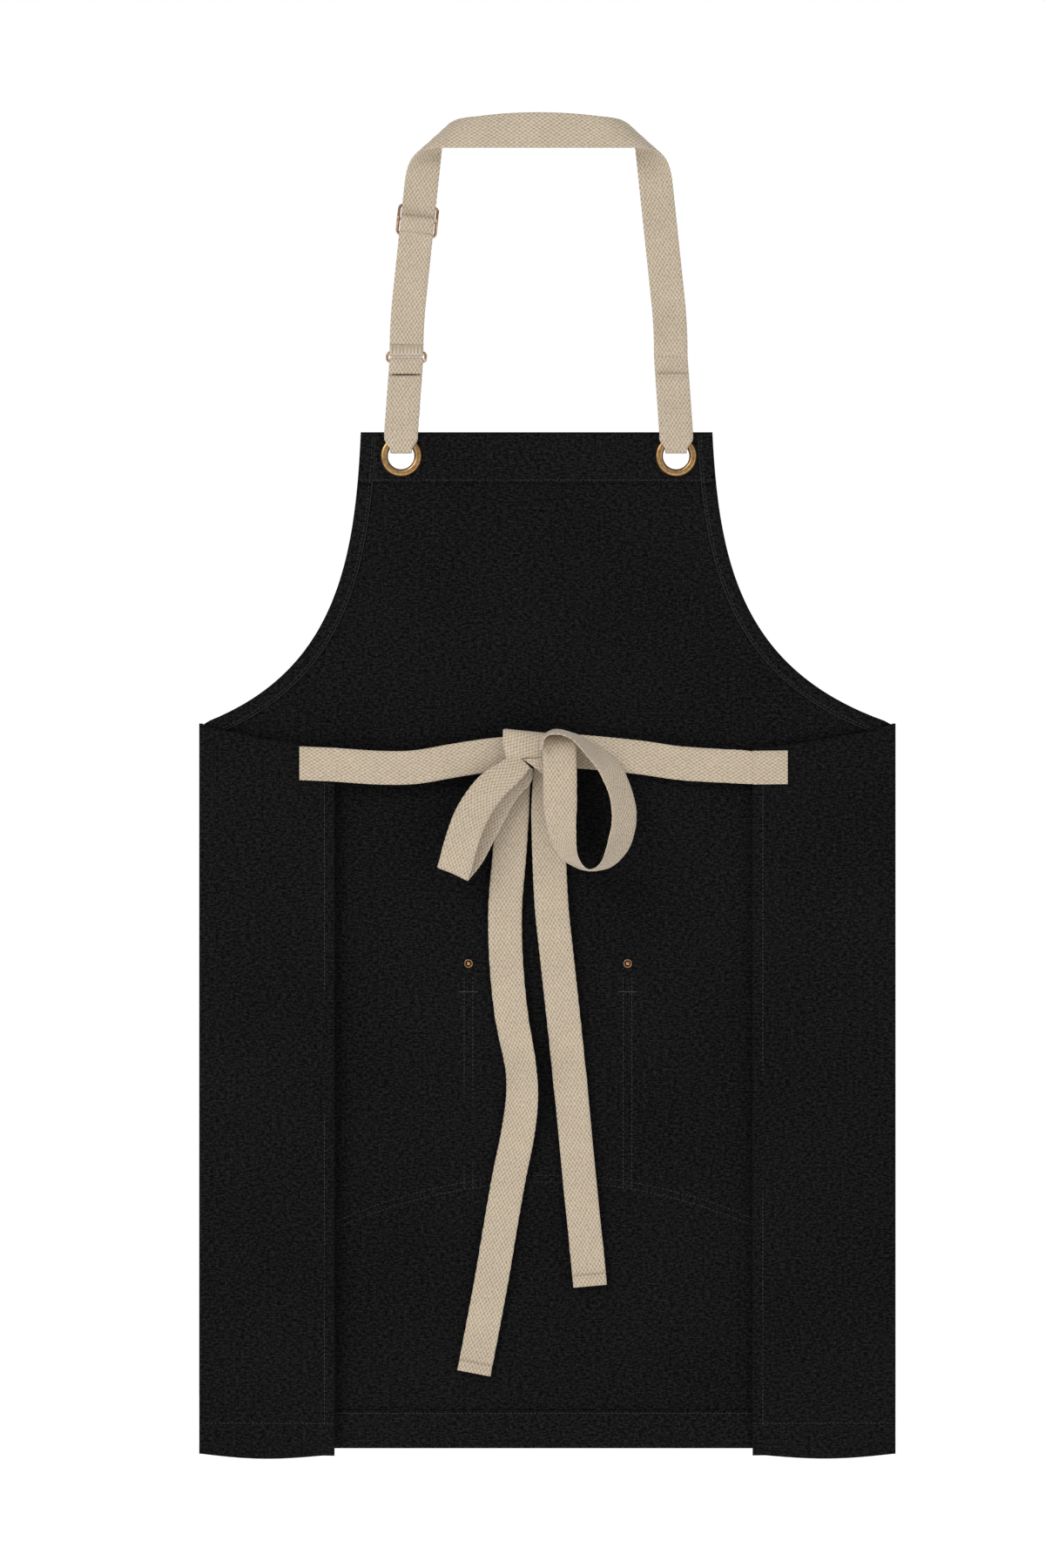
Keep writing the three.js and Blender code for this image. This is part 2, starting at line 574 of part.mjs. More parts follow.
// ---- Grommets: each a flanged eyelet and its washer ----
function grommets() {
  const thick = FRONT_Y - HEM_Y;
  const barrel = GROMMET_HOLE_R + BARREL_T;
  const eyelet = [
    [GROMMET_HOLE_R, -1.1], [barrel, -1.7], [12.8, -FLANGE_OUT], [14.6, -1.6], [GROMMET_R, -0.8],
    [GROMMET_R - 0.1, -CLEAR], [barrel, -CLEAR], [barrel, thick + 1.3], [13.4, thick + 1.3],
    [13.4, thick + 1.9], [barrel, thick + LIP_OUT], [GROMMET_HOLE_R, thick + 1.7],
  ];
  const washer = [
    [barrel + CLEAR, thick + CLEAR], [GROMMET_R - 0.3, thick + CLEAR],
    [GROMMET_R - 0.3, thick + 1], [barrel + CLEAR, thick + 1],
  ];
  for (const [side, name] of [[-1, "left"], [1, "right"]])
    for (const [part, profile] of [["grommet", eyelet], ["grommet_washer", washer]]) {
      const points = [...profile, profile[0]].map(([r, y]) => new THREE.Vector2(r, y));
      const ring = add(`${name}_${part}`, new THREE.LatheGeometry(points, 32), brass);
      ring.position.set(side * GROMMET_X, HEM_Y, GROMMET_Z);
    }
}

const HOLE_IN_CLOTH = GROMMET_HOLE_R + BARREL_T + CLEAR;

function withHoles(geometry, holes) {
  let body = solid(geometry);
  for (const [x, z, r] of holes) body = body.subtract(solid(bore(x, z, r)));
  return geometryOf(body);
}

// ---- Canvas ----
// The armhole's curve, from the bib's corner to the fold at the waist, as X and Z.
function armhole(cornerX, foldX) {
  const span = foldX - cornerX;
  return new THREE.CubicBezierCurve(
    new THREE.Vector2(cornerX, BIB_TOP_Z),
    new THREE.Vector2(cornerX + 0.036 * span, BIB_TOP_Z - 98),
    new THREE.Vector2(cornerX + 0.165 * span, WAIST_Z + 37),
    new THREE.Vector2(foldX, WAIST_Z),
  );
}
const LEFT_ARM = armhole(BIB_CENTRE_X - BIB_HALF_W, LEFT_FOLD_X);
const RIGHT_ARM = armhole(BIB_CENTRE_X + BIB_HALF_W, RIGHT_FOLD_X);
const GROMMET_HOLES = [-1, 1].map((side) => [side * GROMMET_X, GROMMET_Z, HOLE_IN_CLOTH]);
const RIVETS = [
  ["outer_left", POCKET_X - POCKET_HALF_W + RIVET_INSET],
  ["left", POCKET_X - POCKET_SEAM],
  ["right", POCKET_X + POCKET_SEAM],
  ["outer_right", POCKET_X + POCKET_HALF_W - RIVET_INSET],
];
const RIVET_Z = POCKET_TOP_Z - RIVET_INSET;
const RIVET_HOLES = RIVETS.map(([, x]) => [x, RIVET_Z, RIVET_POST_R + CLEAR]);

function mainPanel() {
  const left = LEFT_ARM.getPoints(14);
  const right = RIGHT_ARM.getPoints(14);
  const shape = new THREE.Shape([
    new THREE.Vector2(LEFT_FOLD_X, HEM_Z),
    ...left.reverse(),
    ...right,
    new THREE.Vector2(RIGHT_FOLD_X, HEM_Z),
  ]);
  const cloth = slab(shape, BACK_Y, FRONT_Y);
  add("main_panel", withHoles(cloth, [...GROMMET_HOLES, ...RIVET_HOLES]), canvas);
}

// A strip inside the panel's edge, on its back.
function hemStrips() {
  const edge = 0.5; // a fold lies this far inside the cloth's edge
  const at = (arm, z) => arm.getPoints(60).reduce((a, b) => (Math.abs(b.y - z) < Math.abs(a.y - z) ? b : a)).x;
  const topLow = BIB_TOP_Z - TOP_HEM_H;
  const top = outline([
    [at(LEFT_ARM, topLow) + edge, topLow],
    [at(RIGHT_ARM, topLow) - edge, topLow],
    [BIB_CENTRE_X + BIB_HALF_W - edge, BIB_TOP_Z - edge],
    [BIB_CENTRE_X - BIB_HALF_W + edge, BIB_TOP_Z - edge],
  ]);
  add("top_hem", withHoles(slab(top, HEM_Y, BACK_Y - CLEAR), GROMMET_HOLES), canvas);
  const bottom = outline([
    [LEFT_FOLD_X + edge, HEM_Z + edge],
    [RIGHT_FOLD_X - edge, HEM_Z + edge],
    [RIGHT_FOLD_X - edge, HEM_Z + BOTTOM_HEM_H],
    [LEFT_FOLD_X + edge, HEM_Z + BOTTOM_HEM_H],
  ]);
  add("bottom_hem", slab(bottom, HEM_Y, BACK_Y - CLEAR), canvas);
}

function armholeFacings() {
  for (const [name, arm, inward] of [["left", LEFT_ARM, 1], ["right", RIGHT_ARM, -1]]) {
    const line = arm.getPoints(40).filter((p) => p.y < BIB_TOP_Z - TOP_HEM_H - CLEAR && p.y > WAIST_Z + 0.5);
    const outer = [];
    const inner = [];
    line.forEach((p, i) => {
      const along = (line[i + 1] ?? p).clone().sub(line[i - 1] ?? p).normalize();
      const into = new THREE.Vector2(-along.y, along.x).multiplyScalar(inward);
      outer.push(p.clone().addScaledVector(into, 0.5));
      inner.push(p.clone().addScaledVector(into, FACING_W));
    });
    add(`${name}_armhole_facing`, slab(new THREE.Shape([...outer, ...inner.reverse()]), HEM_Y, BACK_Y - CLEAR), canvas);
  }
}

// ---- Wings: the panel's sides, folded on to its back, with their hems and the ties' sewn ends ----
function wing(name, foldX, width, tilt, toward) {
  const turnR = (WING_LIFT + CLOTH_T) / 2;
  const group = new THREE.Group();
  group.position.set(foldX, BACK_Y + CLOTH_T / 2 - turnR, 0);
  group.rotation.z = -toward * tilt;
  apron.add(group);
  const roomToOpen = CLEAR + (turnR + CLOTH_T / 2) * Math.sin(WING_OPENING + tilt) + 0.15;
  const turn = Array.from({ length: 7 }, (_, i) => {
    const a = (Math.PI * i) / 6;
    return new THREE.Vector2(-toward * turnR * Math.sin(a), turnR * Math.cos(a));
  });
  const line = [
    new THREE.Vector2(-toward * roomToOpen, turnR),
    ...turn.filter((p) => Math.abs(p.x) > roomToOpen + 0.2),
    new THREE.Vector2(0, -turnR),
    new THREE.Vector2(toward * width, -turnR),
  ];
  const profile = new THREE.ExtrudeGeometry(bandShape(line, CLOTH_T, false), {
    depth: WAIST_Z - HEM_Z + 40,
    bevelEnabled: false,
  }).translate(0, 0, HEM_Z - 20);
  const innerTop = WAIST_Z - WING_TOP_DROP;
  const low = HEM_Z - WING_HANG;
  const cut = outline([
    [toward * -8, low + 3],
    [toward * 12, low - 1],
    [toward * (width + 8), low + 2],
    [toward * (width + 8), innerTop],
    [toward * width * 0.7, innerTop + 2.5],
    [toward * width * 0.3, innerTop + 9],
    [0, WAIST_Z],
    [toward * -8, WAIST_Z + 2],
  ]);
  add(`${name}_wing`, geometryOf(solid(profile).intersect(solid(slab(cut, -10, 10)))), canvas, group);
  // The hem lies on the side that faces the panel, down the inner edge and along the bottom.
  const faceY = -turnR + CLOTH_T / 2 + CLEAR;
  const hem = outline([
    [toward * 6, low + 2],
    [toward * (width - 0.5), low + 3],
    [toward * (width - 0.5), innerTop - 1],
    [toward * (width - WING_HEM_W), innerTop - 1],
    [toward * (width - WING_HEM_W), low + WING_HEM_H],
    [toward * 6, low + WING_HEM_H],
  ]);
  add(`${name}_wing_hem`, slab(hem, faceY, faceY + 0.8), canvas, group);
  const tieY = -turnR - CLOTH_T / 2 - CLEAR;
  const sewnTop = name === "left" ? -455 : -458;
  const sewn = outline([
    [toward * (width - SEWN_END), sewnTop - WEB_W],
    [toward * width, sewnTop - WEB_W - 0.6],
    [toward * width, sewnTop - 0.6],
    [toward * (width - SEWN_END), sewnTop],
  ]);
  add(`${name}_tie_end`, slab(sewn, tieY - WEB_T, tieY), webbing, group);
}

// ---- Front pocket: one cloth, sewn down at its ends, at two dividing seams and along its arched bottom ----
function pocketBottom(x) {
  const t = (x - POCKET_X) / POCKET_HALF_W;
  return POCKET_TOP_Z - POCKET_DEPTH - POCKET_ARCH * t * t;
}

function frontPocket() {
  const seams = [-POCKET_HALF_W, -POCKET_SEAM, POCKET_SEAM, POCKET_HALF_W].map((x) => POCKET_X + x);
  const normal = new THREE.Vector3(0, 1, 0);
  const pouch = (x, up) => {
    const k = seams.findIndex((s, i) => x <= seams[i + 1] + 1e-6);
    const t = (x - seams[k] - POCKET_FLAT) / (seams[k + 1] - seams[k] - 2 * POCKET_FLAT);
    return POCKET_BELLY * Math.sin(Math.PI * THREE.MathUtils.clamp(t, 0, 1)) * Math.sin((Math.PI / 2) * up) ** 0.6;
  };
  const columns = [];
  for (let k = 0; k < 3; k++) {
    columns.push(seams[k]);
    for (let i = 0; i <= 8; i++)
      columns.push(THREE.MathUtils.lerp(seams[k] + POCKET_FLAT, seams[k + 1] - POCKET_FLAT, i / 8));
  }
  columns.push(seams[3]);
  const rows = Array.from({ length: 7 }, (_, i) => i / 6).map((up) =>
    columns.map((x) => {
      const z = THREE.MathUtils.lerp(pocketBottom(x), POCKET_TOP_Z, up);
      return { at: new THREE.Vector3(x, POCKET_FLAT_Y + pouch(x, up), z), normal };
    }),
  );
  add("front_pocket", withHoles(sheetSolid(rows, CLOTH_T), RIVET_HOLES), canvas);
  // Its top hem is turned to the inside, one short fold behind each pouch.
  for (const [k, name] of ["left", "middle", "right"].entries()) {
    const [x0, x1] = [seams[k] + POCKET_FLAT + 12, seams[k + 1] - POCKET_FLAT - 12];
    const strip = [1, 5 / 6].map((up) =>
      Array.from({ length: 9 }, (_, i) => {
        const x = THREE.MathUtils.lerp(x0, x1, i / 8);
        const y = POCKET_FLAT_Y + pouch(x, up) - CLOTH_T / 2 - CLEAR - 0.5;
        const z = THREE.MathUtils.lerp(pocketBottom(x), POCKET_TOP_Z, up);
        return { at: new THREE.Vector3(x, y, z - 0.5), normal };
      }),
    );
    add(`${name}_pocket_hem`, sheetSolid(strip, 0.6), canvas);
  }
}

// ---- Rivets: a domed cap with its post, and a back cap set on the post ----
function rivets() {
  const capFace = POCKET_FLAT_Y + CLOTH_T / 2 + CLEAR;
  const backFace = BACK_Y - CLEAR;
  const postEnd = backFace - 0.9;
  const cap = [
    [0, capFace + 2], [2.4, capFace + 1.7], [RIVET_R - 0.6, capFace + 0.9], [RIVET_R, capFace],
    [RIVET_POST_R, capFace], [RIVET_POST_R, postEnd], [0, postEnd],
  ];
  const back = [
    [RIVET_POST_R + CLEAR, backFace], [RIVET_BACK_R, backFace], [RIVET_BACK_R, backFace - 0.6],
    [RIVET_BACK_R - 0.7, backFace - 1.1], [RIVET_POST_R + CLEAR, backFace - 0.9], [RIVET_POST_R + CLEAR, backFace],
  ];
  for (const [name, x] of RIVETS) {
    const lathe = (profile) => new THREE.LatheGeometry(profile.map(([r, y]) => new THREE.Vector2(r, y)), 20);
    for (const [part, profile] of [["cap", cap], ["back", back]])
      add(`${name}_rivet_${part}`, geometryOf(solid(out(lathe(profile)))), brass).position.set(x, 0, RIVET_Z);
  }
}

function out(geometry) {
  const g = weld(geometry);
  return volumeOf(g) < 0 ? turnedOut(g) : g;
}

// ---- Bow: the knot, the ties that lead to it, two loops and two tails ----
function bow() {
  const { x0, x1, z0, z1, near, far, round } = KNOT;
  const shape = outline([
    [x0 + round, z0], [x1 - round, z0], [x1, z0 + round], [x1, z1 - round],
    [x1 - round, z1], [x0 + round, z1], [x0, z1 - round], [x0, z0 + round],
  ]);
  add("bow_knot", slab(shape, BACK_Y - far, BACK_Y - near), webbing);
  add("left_tie", ribbon(LEFT_TIE, 20), webbing);
  add("right_tie", ribbon(RIGHT_TIE, 22), webbing);
  add("left_loop", ribbon(LEFT_LOOP, 36), webbing);
  add("right_loop", ribbon(RIGHT_LOOP, 42), webbing);
  add("left_tail", ribbon(LEFT_TAIL, 32), webbing);
  add("right_tail", ribbon(RIGHT_TAIL, 22), webbing);
}

neckStrap();
slider();
strapReturn();
ovalRing();
anchorLoops();
grommets();
mainPanel();
hemStrips();
armholeFacings();
wing("left", LEFT_FOLD_X, LEFT_WING_W, LEFT_WING_TILT, 1);
wing("right", RIGHT_FOLD_X, RIGHT_WING_W, RIGHT_WING_TILT, -1);
frontPocket();
rivets();
bow();

export default apron;
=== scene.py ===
# %% [markdown]
# # A canvas apron with webbing ties, hung by its neck strap
# The apron is black canvas with beige cotton webbing and small brass and copper fittings. Its two sides are
# folded on to its back and its waist ties are in a bow. The CAD frame gives every place and size. This script
# dresses it: cloth from grids, webbing swept along its own route, stitches from Geometry Nodes, and
# procedural materials. Every length is in metres, except in the routes of the free webbing, which are in
# millimetres.

# %% Load the frame
import math

import bmesh
import bpy
import numpy as np
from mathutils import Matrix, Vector


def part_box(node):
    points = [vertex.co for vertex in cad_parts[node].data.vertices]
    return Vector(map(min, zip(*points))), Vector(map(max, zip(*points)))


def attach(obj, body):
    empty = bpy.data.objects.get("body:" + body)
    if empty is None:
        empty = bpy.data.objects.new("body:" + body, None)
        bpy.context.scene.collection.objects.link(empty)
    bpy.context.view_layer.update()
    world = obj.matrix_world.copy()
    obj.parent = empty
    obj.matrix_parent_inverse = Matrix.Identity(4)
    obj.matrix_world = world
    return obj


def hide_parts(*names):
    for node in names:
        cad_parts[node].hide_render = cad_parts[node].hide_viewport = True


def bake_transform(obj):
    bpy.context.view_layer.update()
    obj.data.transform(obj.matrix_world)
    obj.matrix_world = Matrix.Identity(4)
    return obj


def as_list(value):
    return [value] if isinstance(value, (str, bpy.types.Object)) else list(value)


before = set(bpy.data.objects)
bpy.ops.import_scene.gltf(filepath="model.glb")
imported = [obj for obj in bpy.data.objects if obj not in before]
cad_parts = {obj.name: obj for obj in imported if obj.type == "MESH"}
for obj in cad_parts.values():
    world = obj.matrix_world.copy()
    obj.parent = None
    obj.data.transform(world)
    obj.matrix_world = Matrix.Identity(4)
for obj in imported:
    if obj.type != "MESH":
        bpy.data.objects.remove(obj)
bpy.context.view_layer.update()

# %% [markdown]
# ## Places
# Everything is worked out from a few sizes and from the boxes of the CAD nodes, so that the cloth and the
# webbing stay where the solids are. MM turns millimetres to metres, because a maker thinks of thread and
# cloth in millimetres.

# %% Places and sizes
MM = 0.001
WEB_W = 25 * MM
WEB_T = 1.5 * MM
CLOTH_T = 1.0 * MM
SHOULDER_X = 83 * MM
FOLD_R = 12.5 * MM
LEG_TILT = math.radians(6)
LEG_PLUMB = 40 * MM
LEFT_WING_TILT = math.radians(4)
RIGHT_WING_TILT = math.radians(1.5)
TURN_R = 1.8 * MM
GAP = 0.3 * MM
BARE_HOLE_R = 12.4 * MM
LEFT_WING_W, RIGHT_WING_W = 98.7 * MM, 104 * MM
WING_TOP, WING_FOOT = -456 * MM, -982.5 * MM

PANEL_LOW, PANEL_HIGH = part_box("main_panel")
RING_LOW, RING_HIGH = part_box("oval_ring")
KNOT_LOW, KNOT_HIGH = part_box("bow_knot")
POCKET_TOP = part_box("front_pocket")[1].z
BACK_Y = PANEL_LOW.y
FRONT_Y = PANEL_HIGH.y
MID_Y = (BACK_Y + FRONT_Y) / 2
BIB_TOP = PANEL_HIGH.z
HEM_Z = PANEL_LOW.z
LEFT_FOLD = PANEL_LOW.x
RIGHT_FOLD = PANEL_HIGH.x
BAND_Y = -WEB_T / 2
LEG_Y = BAND_Y + 2 * FOLD_R
RING_X = (RING_LOW.x + RING_HIGH.x) / 2
RING_Y = MID_Y
RING_WIRE_R = 1.0 * MM
TOP_BAR_Z = RING_HIGH.z - RING_WIRE_R
LOW_BAR_Z = RING_LOW.z + RING_WIRE_R
RING_BEND = LEG_Y - RING_Y
BIB_LEFT, BIB_RIGHT = -132 * MM, 129 * MM
WAIST_Z = -438 * MM
GROMMETS = [(-102 * MM, BIB_TOP - 17.7 * MM), (102 * MM, BIB_TOP - 17.7 * MM)]
HOLES = [(x, z, BARE_HOLE_R) for x, z in GROMMETS]
print("panel", PANEL_LOW, PANEL_HIGH, "ring", RING_X, TOP_BAR_Z, LOW_BAR_Z)

# %% [markdown]
# ## Camera and light
# A product of cloth is shown from straight in front with a long lens, so that the hanging sides stay
# parallel. The world lights it softly from everywhere, and three large lamps give the weave its shading.


# %% Camera
def put(name, data):
    """Adds an object to the scene."""
    piece = bpy.data.objects.new(name, data)
    bpy.context.scene.collection.objects.link(piece)
    return piece


VIEW_H = 1.1628
DISTANCE = 8.0
camera = put("camera", bpy.data.cameras.new("camera"))
camera.data.sensor_fit = "VERTICAL"
camera.data.sensor_height = 36
camera.data.lens = 36 * DISTANCE / VIEW_H
camera.location = (-0.01195, BACK_Y - DISTANCE, -0.4829)
camera.rotation_euler = (math.radians(90), 0, 0)
bpy.context.scene.camera = camera
bpy.context.scene.view_settings.view_transform = "Standard"
print("lens", camera.data.lens)


# %% Lights and floor
def lamp(name, place, size, power, warmth=(1, 1, 1)):
    data = bpy.data.lights.new(name, "AREA")
    data.size = size
    data.energy = power
    data.color = warmth
    light = put(name, data)
    light.location = place
    aim = Vector((0, 0, -0.45)) - Vector(place)
    light.rotation_euler = aim.to_track_quat("-Z", "Y").to_euler()


lamp("key", (-1.5, -1.9, 0.9), 1.2, 34)
lamp("fill", (1.9, -1.6, -0.2), 1.6, 9)
lamp("behind", (0.6, 2.2, 0.6), 1.6, 26)

# %% [markdown]
# ## Shader maths
# A material is easier to read as a formula than as a web of nodes. A Socket wraps one output, and its
# operators add Math nodes. Any other node comes from Nodes.node, which takes its type, settings and inputs.


# %% Sockets as numbers
class Socket:
    def __init__(self, maker, output):
        self.maker = maker
        self.output = output

    def math(self, operation, *others):
        inputs = dict(enumerate((self, *others)))
        return self.maker.node("ShaderNodeMath", {"operation": operation}, inputs)

    def __add__(self, other):
        return self.math("ADD", other)

    __radd__ = __add__

    def __sub__(self, other):
        return self.math("SUBTRACT", other)

    def __rsub__(self, other):
        return self * -1 + other

    def __mul__(self, other):
        return self.math("MULTIPLY", other)

    __rmul__ = __mul__

    def sin(self):
        return self.math("SINE")

    def power(self, other):
        return self.math("POWER", other)

    def maximum(self, other):
        return self.math("MAXIMUM", other)

    def minimum(self, other):
        return self.math("MINIMUM", other)

    def also(self, name):
        """Another output of the same node."""
        return Socket(self.maker, self.output.node.outputs[name])


class Nodes:
    """Adds nodes to one tree."""

    def __init__(self, tree):
        self.tree = tree

    def node(self, kind, settings=None, inputs=None, output=0):
        made = self.tree.nodes.new(kind)
        for key, value in (settings or {}).items():
            if key == "stops":
                for element, (at, colour) in zip(made.color_ramp.elements, value):
                    element.position = at
                    element.color = colour
            else:
                setattr(made, key, value)
        for key, value in (inputs or {}).items():
            if isinstance(value, Socket):
                self.tree.links.new(value.output, made.inputs[key])
            else:
                made.inputs[key].default_value = value
        return Socket(self, made.outputs[output]) if made.outputs else None


class Maker(Nodes):
    """Builds the nodes of one material around its Principled shader."""

    def __init__(self, name, **constants):
        self.material = bpy.data.materials.new(name)
        self.material.use_nodes = True
        super().__init__(self.material.node_tree)
        self.shader = self.tree.nodes["Principled BSDF"]
        for socket, value in constants.items():
            self.shader.inputs[socket.replace("_", " ")].default_value = value

    def feed(self, name, socket):
        self.tree.links.new(socket.output, self.shader.inputs[name])

    def bump(self, height, strength, distance):
        inputs = {"Strength": strength, "Distance": distance, "Height": height}
        self.feed("Normal", self.node("ShaderNodeBump", {}, inputs))

    def noise(self, where, scale, detail=4, roughness=0.6):
        inputs = {"Vector": where, "Scale": scale, "Detail": detail, "Roughness": roughness}
        return self.node("ShaderNodeTexNoise", {}, inputs)

    def mix(self, factor, a, b):
        return self.node("ShaderNodeMix", {"data_type": "RGBA"}, {0: factor, 6: a, 7: b}, output=2)

    def object_place(self):
        return self.node("ShaderNodeTexCoord", output="Object")

    def woven_place(self):
        """The piece's own UV map in metres, and its two parts: across and along the cloth."""
        uv = self.node("ShaderNodeUVMap", {"uv_map": "weave"})
        across = self.node("ShaderNodeSeparateXYZ", {}, {0: uv})
        return uv, across, across.also("Y")


# %% [markdown]
# ## Cotton webbing
# Narrow cotton webbing is a plain weave of fat yarns: each yarn shows as a small pillow, and every other
# row is shifted by one. The pattern follows the webbing, so it reads the piece's own UV map, which is in
# metres along and across. Sines make the pillows, as bump and as colour: the colour paints the pillow
# crowns lighter and the gaps between yarns darker, as painted highlight and painted shade. Noise gives
# uneven yarn and a little dirt.


# %% Webbing material
def webbing_material(name, tone=(0.405, 0.341, 0.260)):
    m = Maker(name, Roughness=0.88, Sheen_Weight=0.25, Sheen_Roughness=0.5, Specular_IOR_Level=0.2)
    uv, across, along = m.woven_place()
    yarn, pick = 1.35 * MM, 2.1 * MM
    wobble = m.noise(uv, 160, 2) * 0.9
    u = across * (math.pi / yarn) + wobble
    v = along * (math.pi / pick) + wobble
    pillow = (u.sin() * v.sin() * 0.5 + 0.5).power(0.8)
    fuzz = m.noise(uv, 1400, 5, 0.7)
    m.bump(pillow + fuzz * 0.3, 0.7, 0.3 * MM)
    patch = m.noise(uv, 38, 3)
    slub = m.noise(uv, 520, 3)
    grain = (patch - 0.5) * 0.3 + (fuzz - 0.5) * 0.6 + (slub - 0.5) * 1.1
    # The pillow term is painted light: yarn crowns painted lighter and the gaps between them painted darker,
    # as painted highlight and painted shade; grain adds uneven yarn and dirt.
    shade = (pillow * 0.8 + 0.16 + grain).maximum(0.0).minimum(1.1)
    dark = tuple(c * k for c, k in zip(tone, (0.50, 0.47, 0.43))) + (1,)
    light = tuple(c * 1.36 for c in tone) + (1,)
    m.feed("Base Color", m.mix(shade, dark, light))
    m.feed("Roughness", 0.8 + fuzz * 0.18)
    return m.material


STRAP = webbing_material("strap_cotton")
TIES = webbing_material("tie_cotton", (0.408, 0.341, 0.258))
print("webbing materials", STRAP.name, TIES.name)

# %% [markdown]
# ## Black canvas
# Black canvas is never quite black: a fine plain weave catches light on each thread, lint and wear lift it
# in soft patches, and the turned and sewn folds are a shade paler than the rest. Its pattern reads a UV map
# in metres, laid flat before the cloth is folded, so the weave runs true round each fold.


# %% Canvas material
def canvas_material(name, shade=0.0048):
    m = Maker(name, Roughness=0.92, Sheen_Weight=0.012, Sheen_Roughness=0.55, Specular_IOR_Level=0.05)
    uv, across, along = m.woven_place()
    pitch = 0.95 * MM
    slub = m.noise(uv, 160, 3) * 1.2
    weave = (across * (math.pi / pitch) + slub).sin() * (along * (math.pi / pitch) + slub).sin()
    lint = m.noise(uv, 900, 5, 0.75)
    rub = m.noise(uv, 9, 4)
    threads = m.noise(m.node("ShaderNodeCombineXYZ", {}, {0: across * 260, 1: along * 980}), 1, 3, 0.6)
    m.bump(weave * 0.5 + lint * 0.8, 0.7, 0.3 * MM)
    fleck = m.noise(uv, 480, 4, 0.7)
    grain = (lint - 0.5) * 2.4 + (fleck - 0.5) * 3.0 + (threads - 0.5) * 2.6
    glow = (weave * 0.14 + 0.33 + grain + (rub - 0.5) * 0.3).maximum(0.0).minimum(1.3)
    dark = (shade * 0.12, shade * 0.12, shade * 0.13, 1)
    pale = (shade * 3.0, shade * 3.0, shade * 3.1, 1)
    m.feed("Base Color", m.mix(glow, dark, pale))
    m.feed("Roughness", 0.84 + lint * 0.14)
    return m.material


CANVAS = canvas_material("black_canvas")
FOLDED_CANVAS = canvas_material("folded_canvas", 0.0052)


# %% Metal and thread materials
def metal_material(name, face, hollow, rough):
    m = Maker(name, Metallic=1.0)
    where = m.object_place()
    cloud = m.noise(where, 420, 4)
    spots = m.noise(where, 2600, 3)
    bright = (cloud * 1.6 - 0.35 + (spots - 0.5) * 0.3).minimum(1).maximum(0)
    m.feed("Base Color", m.mix(bright, hollow + (1,), face + (1,)))
    m.feed("Roughness", cloud * 0.2 + rough - 0.1)
    m.bump(spots, 0.08, 0.05 * MM)
    return m.material


BRASS = metal_material("antique_brass", (0.56, 0.355, 0.15), (0.24, 0.13, 0.05), 0.34)
# Painted shade: a dark brass for the grommets' rims, where the flange rolls into the hole and down against
# the cloth.
BRASS_RIM_SHADE = metal_material("brass_rim_painted_shade", (0.11, 0.06, 0.03), (0.04, 0.022, 0.012), 0.45)
COPPER = metal_material("antique_copper", (0.62, 0.40, 0.26), (0.24, 0.13, 0.075), 0.3)
DULL_COPPER = metal_material("dull_copper", (0.36, 0.2, 0.12), (0.14, 0.07, 0.04), 0.4)


def thread_material(name, colour):
    m = Maker(name, Roughness=0.7, Sheen_Weight=0.2)
    where = m.object_place()
    twist = m.noise(where, 3000, 3)
    dull = tuple(c * 0.6 for c in colour) + (1,)
    m.feed("Base Color", m.mix(twist, dull, colour + (1,)))
    m.bump(twist, 0.4, 0.1 * MM)
    return m.material


BLACK_THREAD = thread_material("black_thread", (0.012, 0.012, 0.0125))
BEIGE_THREAD = thread_material("beige_thread", (0.50, 0.42, 0.31))

# %% [markdown]
# ## Swept webbing
# Webbing never stretches: it only bends. So each strap is built row by row, from a middle point, a width
# direction and a face direction. The cross-section is a flat oval with soft edges, and the selvedge has the
# small scallops that the weft makes where it turns back.


# %% From rows to a mesh
def new_piece(name, verts, faces, material, uvs=None):
    mesh = bpy.data.meshes.new(name)
    mesh.from_pydata([tuple(v) for v in verts], [], faces)
    if uvs is not None:
        layer = mesh.uv_layers.new(name="weave")
        flat = np.array([uvs[i] for f in faces for i in f], dtype=np.float32)
        layer.data.foreach_set("uv", flat.ravel())
    for polygon in mesh.polygons:
        polygon.use_smooth = True
    mesh.materials.append(material)
    mesh.update()
    return put(name, mesh)


def tube_faces(rings, sides, closed=False, all_round=True):
    """Faces between neighbouring rings of points, with a cap on each end of an open tube."""
    faces = []
    for i in range(rings if closed else rings - 1):
        j = (i + 1) % rings
        for k in range(sides if all_round else sides - 1):
            m = (k + 1) % sides
            faces.append((i * sides + k, i * sides + m, j * sides + m, j * sides + k))
    if not closed:
        faces += [tuple(range(sides))[::-1], tuple((rings - 1) * sides + k for k in range(sides))]
    return faces


def dress(piece, slot, *nodes):
    """Hides the CAD nodes that a piece stands for. The slot argument is not used."""
    if nodes:
        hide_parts(*nodes)
    return piece


QUARTER = [(-1, 0.0), (-0.96, 0.34), (-0.86, 0.5), (-0.5, 0.5)]
UPPER = QUARTER + [(0, 0.5)] + [(-across, up) for across, up in QUARTER[::-1]]
SIDES = UPPER + [(across, -up) for across, up in UPPER[-2:0:-1]]
SCALLOP = 0.12 * MM
PICK = 2.3 * MM


def selvedge(run):
    """How far the edge stands out, at a distance along the webbing."""
    return SCALLOP * math.sin(run * 2 * math.pi / PICK)


